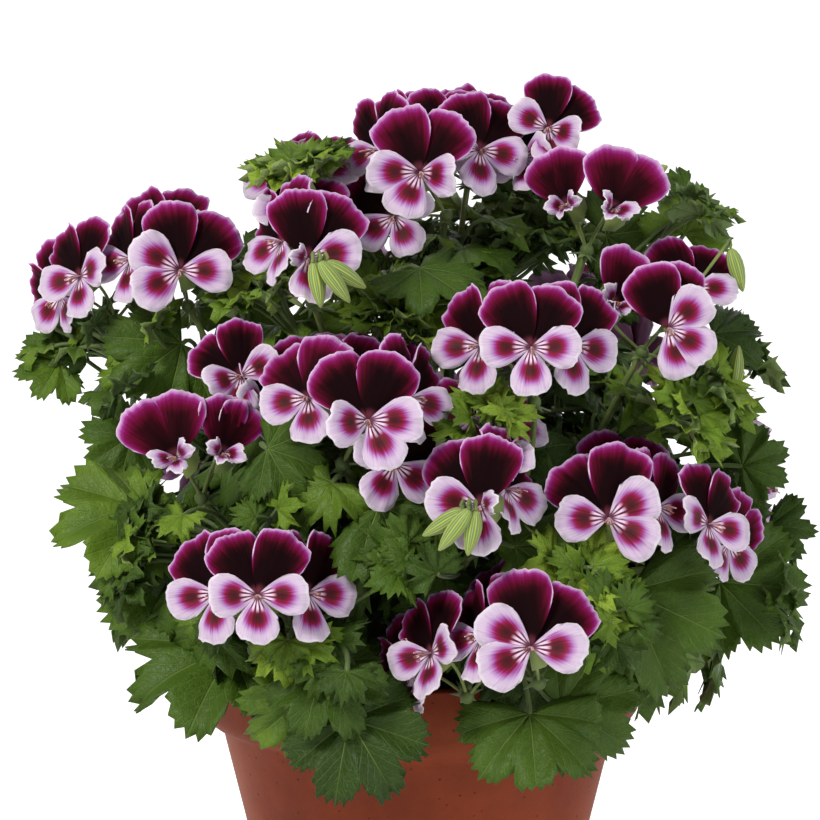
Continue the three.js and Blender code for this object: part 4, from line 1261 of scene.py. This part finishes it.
# %% Join each head
for name, head in heads.items():
    umbel = head["umbel"]
    rise = (head["stem"][-1] - head["stem"][-2]).normalized()
    level = rise.cross(Vector((0, 1, 0))).normalized()
    fore = rise.cross(level)
    lines = [(head["stem"], [STEM_RADIUS] * len(head["stem"]))]
    greens = [
        copy_of(knot, level, fore, rise, umbel),
        copy_of(bract_master, level, fore, rise, umbel - rise * 1.5),
    ]
    petals, fine_lines, anthers = [], [], []
    for bloom in head["blooms"]:
        r, u, f = (bloom[key] * bloom["size"] for key in "ruf")
        petals += bloom_petals(bloom, chance)
        lines.append(bloom_stalk(bloom, umbel))
        more_lines, more_anthers = stamens(bloom, chance)
        fine_lines += more_lines
        anthers += more_anthers
        greens.append(copy_of(calyx_master, r, u, f, bloom["p"] - bloom["f"] * 1.2))
    for tip, hook in zip(head["buds"], head["hooks"]):
        greens.append(set_bud(tip, hook, umbel, lines))
    bloom_piece = joined("petals_" + name, petals)
    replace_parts(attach(bloom_piece, "root"), "head_" + name)
    stalks = tubes("stalks_" + name, lines, STEM_GREEN)
    filaments = tubes("filaments_" + name, fine_lines, STYLE_PALE, 0)
    stalk_piece = joined("stems_" + name, [stalks, filaments, *greens, *anthers])
    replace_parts(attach(stalk_piece, "root"), "head_" + name)
print("heads dressed:", len(heads))

# %% [markdown]
# ## Leaves
#
# The leaf is a fan as well, wider than a half circle, with blunt lobes, a sharp tooth at every
# second point of its edge, and pleats: it is folded down along each main vein and up between
# them. Near the edge it ruffles and curls. There are four kinds, with fewer faces the smaller and
# the more often used they are, and four shapes of each, so that no two neighbours look the same.

# %% The outlines of the leaves
# Half of each outline: degrees from the midrib, and how far the leaf reaches there.
LOBE_BREADTH = 2.4
LARGE_OUTLINE = [
    (0, 1.0), (7, 1.03), (20, 0.79), (34, 0.99), (50, 0.97), (66, 0.72), (86, 0.88), (102, 0.86),
    (126, 0.48),
]
SMALL_OUTLINE = [(0, 1.04), (20, 0.78), (42, 1), (62, 0.72), (84, 0.94), (126, 0.5)]


def outline_reach(outline, angle):
    """How far the leaf reaches at an angle: its lobes are broad and its notches are narrow."""
    angle = abs(angle)
    for (a, first), (b, last) in zip(outline, outline[1:]):
        if angle <= b:
            share = (angle - a) / (b - a)
            if last > first:
                return first + (last - first) * (1 - (1 - share) ** LOBE_BREADTH)
            return last + (first - last) * (1 - share ** LOBE_BREADTH)
    return outline[-1][1]


print("a notch of a large leaf reaches", round(outline_reach(LARGE_OUTLINE, 20), 2), "of it")

# %% Shape the leaves
LEAF_SPREAD = 126
LEAF_DROOP = 0.16
LEAF_THICKNESS = 0.016
CURL = 0.12
LOBE_TURN = 42
FOLD_LOW = -0.045
FOLD_HIGH = 0.13


def leaf_master(name, outline, teeth, rows, seed, ruffle, tip):
    """One leaf shape of length 1: its face looks along z and its middle lobe points along y."""
    chance = Chance(seed)
    phase = [chance.number(0, math.tau) for _ in range(4)]
    tooth = [chance.number(-1.1, -0.3) * tip if k % 2 else chance.number(0.3, 1.5) * tip
             for k in range(2 * teeth + 1)]

    def place(across, along, column):
        # The margin: broad lobes with narrow notches, and teeth that only the outer rows have.
        angle = LEAF_SPREAD * (2 * across - 1)
        s = along ** 0.9
        r = s * (outline_reach(outline, angle) * 1.01 + tooth[column] * s ** 5)
        # The face: pleats between the main veins, a droop, ruffles near the edge, and curled lobes.
        from_vein = abs((angle / LOBE_TURN + 0.5) % 1 - 0.5) * 2
        pleat = FOLD_LOW + (FOLD_HIGH - FOLD_LOW) * from_vein
        turn = math.radians(angle)
        ruffled = math.sin(3.3 * turn + phase[0]) + 0.7 * math.sin(7.7 * turn + phase[1])
        ruffled += 0.35 * math.sin(17 * turn + phase[3])
        z = pleat * r - LEAF_DROOP * r * r + ruffle * ruffled * s ** 4
        z += 0.3 * tooth[column] * s ** 6
        z += 0.03 * math.sin(2 * turn + phase[2]) * s * s
        z -= CURL * (0.5 + 0.5 * math.sin(5.1 * turn + phase[2])) * s ** 5
        return Vector((r * math.sin(turn), r * math.cos(turn), z))

    made = fan_grid(name, 2 * teeth, rows, place)
    made.data.materials.append(LEAF_TOP)
    made.data.materials.append(LEAF_BACK)
    add_modifier(made, "SOLIDIFY", thickness=LEAF_THICKNESS, offset=-1, material_offset=1,
                 use_even_offset=False)
    return mark_master(made)


# The outline, the teeth, the rows of faces, the seed, the height of ruffles and that of teeth.
LEAF_KINDS = {
    "large": (LARGE_OUTLINE, 39, 8, 51, 0.085, 0.05),
    "crown": (SMALL_OUTLINE, 30, 6, 61, 0.09, 0.06),
    "small": (SMALL_OUTLINE, 24, 4, 71, 0.1, 0.08),
    "young": (SMALL_OUTLINE, 18, 3, 91, 0.2, 0.15),
}
leaf_masters = {
    kind: [
        leaf_master(f"{kind}_leaf_{k}", outline, teeth, rows, seed + k, ruffle, tip)
        for k in range(4)
    ]
    for kind, (outline, teeth, rows, seed, ruffle, tip) in LEAF_KINDS.items()
}
print("a large leaf has", len(leaf_masters["large"][0].data.polygons), "faces")

# %% [markdown]
# ## Where each leaf stands
#
# The photograph shows some leaves well: each is given by the pixel of its junction with its stalk
# and the pixel of its tip. The others stand all over the crown in a sunflower's spiral. On the
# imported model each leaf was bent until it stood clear, so for each one the ways of bending are
# tried in the same order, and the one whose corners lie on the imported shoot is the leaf's own.

# %% The list of leaves
# The pixel and depth of the stalk's junction, those of the tip, a roll, and the outline's name.
SHOWN_LEAVES = [
    ((232, 650), -66, (137, 676), -80, 28, "large"),
    ((202, 572), -50, (108, 596), -66, -10, "large"),
    ((142, 508), -36, (62, 522), -48, 20, "large"),
    ((322, 670), -98, (352, 722), -112, 0, "large"),
    ((302, 698), -92, (258, 742), -96, -30, "small"),
    ((352, 726), -94, (392, 792), -106, 6, "large"),
    ((530, 714), -94, (536, 780), -114, 0, "large"),
    ((560, 706), -88, (636, 690), -88, 16, "large"),
    ((627, 586), -84, (724, 618), -92, 8, "large"),
    ((720, 582), -36, (802, 588), -42, 14, "large"),
    ((262, 440), -90, (284, 492), -98, 10, "large"),
    ((325, 476), -84, (326, 556), -94, 0, "large"),
    ((182, 344), -20, (122, 384), -32, -10, "large"),
    ((684, 234), -14, (698, 188), -10, 0, "small"),
    ((712, 334), -14, (760, 352), -20, -20, "large"),
    ((742, 466), -34, (784, 448), -36, 10, "small"),
    ((748, 502), -40, (778, 530), -50, 10, "small"),
    ((60, 362), -4, (18, 372), -10, 14, "small"),
    ((72, 350), 2, (44, 312), 6, 0, "small"),
    ((676, 450), -66, (658, 412), -68, 0, "large"),
    ((606, 236), -8, (660, 226), -8, 10, "small"),
    ((508, 530), -100, (548, 562), -112, 0, "small"),
    ((386, 258), 14, (362, 304), 8, 0, "small"),
    ((440, 262), 24, (456, 312), 18, 10, "small"),
    ((244, 296), 8, (226, 346), 2, -10, "small"),
    ((494, 216), 24, (536, 238), 24, 0, "small"),
    ((552, 232), 18, (520, 198), 22, 8, "small"),
    ((596, 276), 18, (642, 296), 10, 0, "small"),
    ((688, 404), -12, (738, 384), -16, 10, "small"),
    ((700, 452), -24, (744, 424), -26, 0, "small"),
    ((664, 496), -34, (640, 544), -42, 0, "small"),
    ((716, 522), -24, (766, 506), -28, 12, "small"),
    ((304, 326), 14, (326, 378), 6, 0, "small"),
    ((132, 436), -2, (90, 462), -8, -8, "small"),
    ((222, 366), -10, (182, 398), -18, 0, "small"),
]
CROWN = {"count": 40, "from": -12, "to": 80, "largest": 30, "smallest": 20, "share": 0.86}
print("leaves that the photograph shows well:", len(SHOWN_LEAVES))

# %% How a leaf may stand
GOLDEN_ANGLE = 137.508
LEAF_LIFT = 0.35
LEAF_SWING = 22
DEPTH_SPREAD = 0.16
# Degrees turned in the leaf's own plane, and millimetres moved out of it, in the order of trying.
BENDS = [
    (0, 0), (0, -7), (24, -4), (-24, -4), (0, 7), (48, -10), (-48, -10), (85, -14), (-85, -14),
    (0, -22), (40, -26), (-40, -26), (0, -40),
]
PLAIN_OUTLINES = {
    "large": [
        (124, 0.5), (102, 0.86), (86, 0.88), (66, 0.72), (50, 0.97), (34, 0.99), (20, 0.79),
        (7, 1.03),
    ],
    "small": [(120, 0.56), (84, 0.94), (62, 0.72), (42, 1), (20, 0.78), (0, 1.04)],
}
PLAIN_RUFFLE = 0.07


def rotated(vector, axis, degrees):
    return Matrix.Rotation(math.radians(degrees), 3, axis) @ vector


def shown_leaf(row):
    """A leaf of the list: where its stalk meets it, its length and direction, and its normal."""
    junction_px, y, tip_px, tip_y, roll, outline = row
    junction, tip = spot(*junction_px, y), spot(*tip_px, tip_y)
    d = (tip - junction).normalized()
    seen = (EYE - junction).normalized() + UP * LEAF_LIFT
    normal = rotated((seen - d * seen.dot(d)).normalized(), d, roll)
    return {"junction": junction, "reach": tip - junction, "normal": normal, "outline": outline}


def crown_leaf(i, crown=CROWN, swing=LEAF_SWING):
    """Leaf number i of a dome. Each stands a golden angle further round than the last."""
    low = math.sin(math.radians(crown["from"]))
    sine = low + (math.sin(math.radians(crown["to"])) - low) * (i + 0.5) / crown["count"]
    cosine = math.sqrt(1 - sine * sine)
    compass = math.radians(GOLDEN_ANGLE * i)
    aim = Vector((cosine * math.cos(compass), cosine * math.sin(compass), sine))
    # Five depths and seven directions of hanging take turns, so that neighbours differ.
    depth = crown["share"] - DEPTH_SPREAD * ((i * 7) % 5) / 4
    junction = CROWN_MIDDLE + times(aim, CROWN_HALF) * depth
    normal = (aim + UP * LEAF_LIFT).normalized()
    down = aim * 0.4 - UP
    d = (down - normal * down.dot(normal)).normalized()
    d = rotated(d, normal, ((i * 5) % 7 - 3) * swing)
    length = crown["largest"] + (crown["smallest"] - crown["largest"]) * max(0, sine)
    return {"junction": junction, "reach": d * length, "normal": normal, "outline": "small"}


def bent(leaf, turn, shift):
    """The leaf turned in its own plane, and moved out of it."""
    return dict(leaf, reach=rotated(leaf["reach"], leaf["normal"], turn),
                junction=leaf["junction"] + leaf["normal"] * shift)


def leaf_axes(leaf):
    """The leaf's directions: across it, along its midrib, and out of its face."""
    d = leaf["reach"].normalized()
    w = d.cross(leaf["normal"]).normalized()
    return w, d, w.cross(d)


def plain_corners(leaf):
    """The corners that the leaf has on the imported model."""
    w, d, n = leaf_axes(leaf)
    length = leaf["reach"].length
    half = PLAIN_OUTLINES[leaf["outline"]]
    both = half + [(-angle, share) for angle, share in reversed(half) if angle > 0]
    corners = []
    for i, (angle, share) in enumerate(both):
        notch = 0 < i < len(both) - 1 and share < 0.8
        lift = (PLAIN_RUFFLE if notch else -0.4 * PLAIN_RUFFLE) - LEAF_DROOP * share * share
        flat = d * math.cos(math.radians(angle)) + w * math.sin(math.radians(angle))
        corners.append(leaf["junction"] + flat * (share * length) + n * (lift * length))
    return corners


print("ways of bending a leaf:", len(BENDS))

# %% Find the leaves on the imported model
SAME_PLACE = 0.15 * MM
SAME_SHARE = 0.7
FOOT_STEPS = 12
UPHILL = 0.8
BELOW = 6


def shoot_tree(node):
    """The corners of a packed shoot, for finding the nearest one to a place."""
    points = node.data.vertices
    tree = KDTree(len(points))
    for i, point in enumerate(points):
        tree.insert(point.co, i)
    tree.balance()
    return tree


shoot_trees = {name: shoot_tree(frame["nodes"]["shoot_" + name]) for name in shoots}


def find_leaf(leaf):
    """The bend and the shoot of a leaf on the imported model, or nothing if it was left out."""
    for bend in BENDS:
        trial = bent(leaf, *bend)
        corners = plain_corners(trial)
        for name, tree in shoot_trees.items():
            hits = sum(tree.find(corner * MM)[2] < SAME_PLACE for corner in corners)
            if hits >= SAME_SHARE * len(corners):
                return trial, name
    return None


def foot_on(name, junction):
    """Where a leaf's stalk grows from its shoot: near, and rather below the leaf than above."""
    best = (1e9, None)
    for way, start, end, radius in shoots[name]["ways"]:
        for foot in points_on(cubic, way, start, end - 0.03, FOOT_STEPS):
            cost = (junction - foot).length + UPHILL * max(0, foot.z + BELOW - junction.z)
            best = min(best, (cost, tuple(foot)))
    return best[0], Vector(best[1])


def petiole(leaf, foot):
    """The leaf's own stalk, from under the blade in a bow to its foot: points and radii."""
    _, d, n = leaf_axes(leaf)
    # It leaves the blade backwards and a little below it, and arches over to its foot.
    reach = (leaf["junction"] - foot).length
    centre = leaf["junction"] - n * 0.4
    bend = centre - d * (0.28 * reach) - n * (0.08 * reach) + UP * (0.14 * reach)
    steps = 8
    radii = [0.75 + 0.25 * abs(i / steps - 0.5) for i in range(steps + 1)]
    return points_on(quadratic, (centre, bend, foot), 0, 1, steps), radii


def set_leaf(name, leaf, kind, tint, chance):
    """Sets a copy of one of the four masters of a kind, one in two of them turned over."""
    w, d, n = leaf_axes(leaf)
    length = leaf["reach"].length
    masters = leaf_masters[kind]
    master = masters[int(chance.number(0, len(masters) - 0.001))]
    flip = -1 if chance.number() < 0.5 else 1
    shoots[name]["leaves"].append(
        copy_of(master, w * (length * flip), d * length, n * length, leaf["junction"], tint))
    _, foot = foot_on(name, leaf["junction"])
    shoots[name]["petioles"].append(petiole(leaf, foot))


chance = Chance(7)
candidates = [shown_leaf(row) for row in SHOWN_LEAVES]
candidates += [crown_leaf(i) for i in range(CROWN["count"])]
found = 0
for leaf in candidates:
    match = find_leaf(leaf)
    if match:
        trial, name = match
        found += 1
        kind = "large" if trial["outline"] == "large" else "crown"
        set_leaf(name, trial, kind, chance.number(0.28, 0.72), chance)
print("leaves of the packed model found again:", found, "of", len(candidates))

# %% [markdown]
# ## The leaves between
#
# Behind the leaves that show, a real plant is full of smaller ones. They stand on inner domes,
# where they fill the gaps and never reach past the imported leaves. One that would touch a bloom or
# hide one from the photograph's eye is left out. Tufts of young, bright leaves sit on the tips of
# side shoots.

# %% Keep clear of the blooms and the pot


def surface_tree(node):
    """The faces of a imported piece, for finding what is near it or in front of it."""
    mesh = frame["nodes"][node].data
    corners = [vertex.co for vertex in mesh.vertices]
    return BVHTree.FromPolygons(corners, [tuple(polygon.vertices) for polygon in mesh.polygons])


head_trees = [surface_tree("head_" + name) for name in heads]
pot_tree = surface_tree("pot")
BLOOM_ROOM = 2.5 * MM
POT_ROOM = 1.5 * MM


def in_the_way(leaf, room=BLOOM_ROOM, hides_too=True):
    """Whether a leaf touches a bloom or the pot, or stands between a bloom and the eye."""
    points = plain_corners(leaf) + [leaf["junction"], leaf["junction"] + leaf["reach"] * 0.5]
    for point in points:
        place = point * MM
        if pot_tree.find_nearest(place, POT_ROOM)[0]:
            return True
        for tree in head_trees:
            if tree.find_nearest(place, room)[0]:
                return True
            if hides_too and tree.ray_cast(place, (point - EYE).normalized())[0]:
                return True
    return False


def nearest_shoot(junction):
    """The shoot on which a leaf here would have the shortest stalk."""
    return min(shoots, key=lambda name: foot_on(name, junction)[0])


print("pieces that a leaf keeps clear of:", len(head_trees) + 1)

# %% Fill the crown
CURLY = {"kind": "young", "tints": (0.15, 0.85)}
DARK = {"kind": "small", "tints": (0.05, 0.6)}
# Pixels and radii, in pixels, of the gaps in the crown.
OPENINGS = [
    (706, 186, 26), (722, 262, 24), (668, 250, 12), (676, 176, 22), (476, 168, 34), (560, 192, 12),
    (238, 478, 9), (44, 320, 10), (640, 390, 10),
]
PX_PER_MM = 2.9
FILL_SWING = 31
FILL_SHIFT = 5
ABOVE_SOIL = 12


def in_an_opening(leaf):
    """Whether a leaf would close one of the gaps through which the photograph shows white."""
    middle = leaf["junction"] + leaf["reach"] * 0.5
    return any((spot(px, py, middle.y) - middle).length < radius / PX_PER_MM
               for px, py, radius in OPENINGS)


INNER_DOMES = [
    {"count": 190, "from": -14, "to": 86, "largest": 17, "smallest": 14, "share": 0.86, **CURLY},
    {"count": 120, "from": -16, "to": 84, "largest": 24, "smallest": 17, "share": 0.76, **DARK},
    {"count": 100, "from": -20, "to": 80, "largest": 24, "smallest": 18, "share": 0.6, **DARK},
    {"count": 46, "from": -24, "to": 70, "largest": 24, "smallest": 20, "share": 0.44, **DARK},
]
filled = 0
for number, dome in enumerate(INNER_DOMES):
    for i in range(dome["count"]):
        shift = FILL_SHIFT * number
        leaf = crown_leaf(i + shift, dict(dome, count=dome["count"] + shift), FILL_SWING)
        for bend in BENDS[:7]:
            trial = bent(leaf, *bend)
            high = trial["junction"].z > SOIL_TOP + ABOVE_SOIL
            if high and not in_the_way(trial) and not in_an_opening(trial):
                set_leaf(nearest_shoot(trial["junction"]), trial, dome["kind"],
                         chance.number(*dome["tints"]), chance)
                filled += 1
                break
print("leaves between:", filled)

# %% Set the tufts of young leaves
# The pixel, the depth and the number of leaves of each tuft.
TUFTS = [
    (300, 170, -30, 12), (322, 182, -26, 8), (478, 424, -86, 12), (512, 420, -84, 8),
    (392, 314, -44, 12), (372, 296, -30, 8), (414, 336, -44, 8), (262, 290, -34, 12),
    (712, 384, -44, 8), (684, 416, -60, 8), (572, 566, -96, 12), (588, 590, -92, 8),
    (294, 622, -100, 12), (320, 610, -96, 8), (240, 270, -20, 8), (738, 398, -24, 7),
    (668, 440, -50, 7), (752, 430, -8, 7), (762, 470, -34, 7), (740, 484, -12, 7),
    (744, 356, 4, 7), (522, 286, -20, 8), (690, 206, -14, 6), (780, 596, -30, 6),
    (96, 338, -8, 7), (64, 336, -2, 6), (440, 236, 10, 10), (470, 214, 14, 8), (516, 200, 20, 8),
    (556, 232, 10, 8), (486, 246, 10, 8), (412, 258, 8, 8),
    (244, 450, -94, 7), (270, 520, -84, 8), (350, 520, -100, 8), (420, 560, -100, 10),
    (450, 590, -104, 8), (384, 600, -104, 8), (150, 520, -50, 8), (130, 560, -50, 8),
    (600, 470, -70, 6), (640, 300, -30, 6), (150, 340, -24, 7), (128, 380, -24, 6),
    (196, 500, -70, 8), (330, 430, -80, 8), (230, 600, -84, 6), (610, 620, -96, 6),
    (636, 540, -84, 7), (690, 520, -60, 7), (350, 650, -108, 6), (442, 640, -108, 5),
]
TUFT_ROOM = 0.9 * MM
TUFT_CORE = Vector((0, 0, 150))
LAST_BRIGHT = 12
set_young = 0
for number, (px, py, y, count) in enumerate(TUFTS):
    middle = spot(px, py, y)
    name = nearest_shoot(middle)
    out = (middle - TUFT_CORE).normalized()
    level = out.cross(UP).normalized()
    upright = level.cross(out)
    for i in range(count):
        # The leaves spiral out from the middle, where the youngest and smallest stand highest.
        angle = math.radians(GOLDEN_ANGLE * i)
        aside = level * math.cos(angle) + upright * math.sin(angle)
        spread = 3 + 6 * math.sqrt(i / count)
        length = 8 + 4 * math.sqrt(i / count)
        leaf = {
            "junction": middle + aside * spread + out * (4 - 5 * i / count),
            "reach": (aside + out * 0.5 + UP * 0.3).normalized() * length,
            "normal": (out - aside * 0.35 + UP * 0.3).normalized(),
            "outline": "small",
        }
        if not in_the_way(leaf, TUFT_ROOM, number > LAST_BRIGHT):
            tints = (0.7, 1.0) if number <= LAST_BRIGHT else (0.3, 0.88)
            set_leaf(name, leaf, "young", chance.number(*tints), chance)
            set_young += 1
print("young leaves:", set_young)

# %% [markdown]
# ## Put the shoots together
#
# A shoot's stalks are round tubes along their curves, thickest at the foot. Its leaves and its
# stalks are two pieces, because they have different finishes.

# %% Join each shoot
STALK_STEPS = 14
for name, shoot in shoots.items():
    lines = []
    for k, (way, start, end, radius) in enumerate(shoot["ways"]):
        points = points_on(cubic, way, 0, end, STALK_STEPS)
        if k == 0:
            points = [points[0] - UP * SHOOT_DEPTH] + points
        radii = [radius * (1.08 - 0.2 * i / len(points)) for i in range(len(points))]
        lines.append((points, radii))
    lines += shoot["petioles"]
    canes = tubes("canes_" + name, lines, STALK_GREEN)
    pieces = [canes]
    if shoot["leaves"]:
        pieces.append(joined("leaves_" + name, shoot["leaves"]))
    for piece in pieces:
        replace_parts(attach(piece, "root"), "shoot_" + name)
print("shoots dressed:", len(shoots))

# %% Delete the masters and count
for spare in spares:
    bpy.data.objects.remove(spare)
triangles = sum(
    len(polygon.vertices) - 2
    for thing in bpy.data.objects if thing.type == "MESH" and not thing.hide_render
    for polygon in thing.data.polygons
)
print("triangles in all:", triangles)

# %% [markdown]
# ## Floor, light and camera
#
# The photograph is a studio cut-out: white all round, with soft light from the front left. A
# pale paper that sweeps up behind the plant and an even sky give the white, a large key lamp the
# light, and a weaker one keeps the shadows from going black. The camera has the photograph's
# place, pitch and scale.

# %% Lay the studio paper
SHEET = [
    (-4.0, 0.0), (1.6, 0.0), (2.0, 0.05), (2.4, 0.2), (2.75, 0.5), (2.95, 0.9), (3.05, 1.4),
    (3.1, 4.0),
]
SHEET_WIDTH = 8
PAPER_GLOW = 0.6
GLOW_FROM, GLOW_TO = 0.0, 0.3


def paper_sheet():
    """The studio's floor: a wide paper that is swept up behind the plant, so no horizon shows."""
    steps = len(SHEET) - 1
    sheet = added("studio_paper", bpy.ops.mesh.primitive_grid_add,
                  x_subdivisions=1, y_subdivisions=steps, size=1)
    for vertex in sheet.data.vertices:
        vertex.co = (SHEET_WIDTH * vertex.co.x, *SHEET[round((vertex.co.y + 0.5) * steps)])
    sheet.data.shade_smooth()
    material, tree, shader = finish_named("matt studio paper", 0.9, Specular_IOR_Level=0.1)
    shader.inputs["Base Color"].default_value = colour("#fafafa")
    shader.inputs["Emission Color"].default_value = (1, 1, 1, 1)
    # Only the paper behind the plant glows, so that it is white and lights nothing from below.
    behind = add_node(tree, "SeparateXYZ", inputs=[add_node(tree, "TexCoord").outputs["Object"]])
    glow = add_node(tree, "MapRange", SMOOTH, (
        behind.outputs[1], GLOW_FROM, GLOW_TO, 0, PAPER_GLOW))
    tree.links.new(glow.outputs[0], shader.inputs["Emission Strength"])
    sheet.data.materials.append(material)


paper_sheet()
print("the paper is", SHEET_WIDTH, "m wide")

# %% Set the lamps, the sky and the camera
AIM = Vector((0, 0, 0.2))
SKY = 0.34
SENSOR = 36


def lamp(name, place, size, power, warmth):
    """A round soft lamp, in metres and watts, that points at the middle of the plant."""
    data = bpy.data.lights.new(name, "AREA")
    data.shape = "DISK"
    data.size, data.energy, data.color = size, power, warmth
    made = linked(name, data)
    made.location = place
    made.rotation_euler = (AIM - Vector(place)).to_track_quat("-Z", "Y").to_euler()


lamp("key", (-0.8, -1.1, 1.2), 0.5, 20, (1, 0.98, 0.95))
lamp("fill", (1.3, -0.9, 0.5), 0.9, 7, (0.96, 0.98, 1))
scene = bpy.context.scene
scene.world = bpy.data.worlds.new("white studio")
scene.world.use_nodes = True
background = scene.world.node_tree.nodes["Background"]
background.inputs["Color"].default_value = (1, 1, 1, 1)
background.inputs["Strength"].default_value = SKY
scene.view_settings.view_transform = "Standard"
lens = bpy.data.cameras.new("camera")
lens.sensor_width = SENSOR
lens.lens = SENSOR * FOCAL / PICTURE
scene.camera = linked("camera", lens)
scene.camera.location = EYE * MM
scene.camera.rotation_euler = (math.radians(90) - PITCH, 0, 0)
print("the camera's lens is", round(lens.lens, 1), "mm")
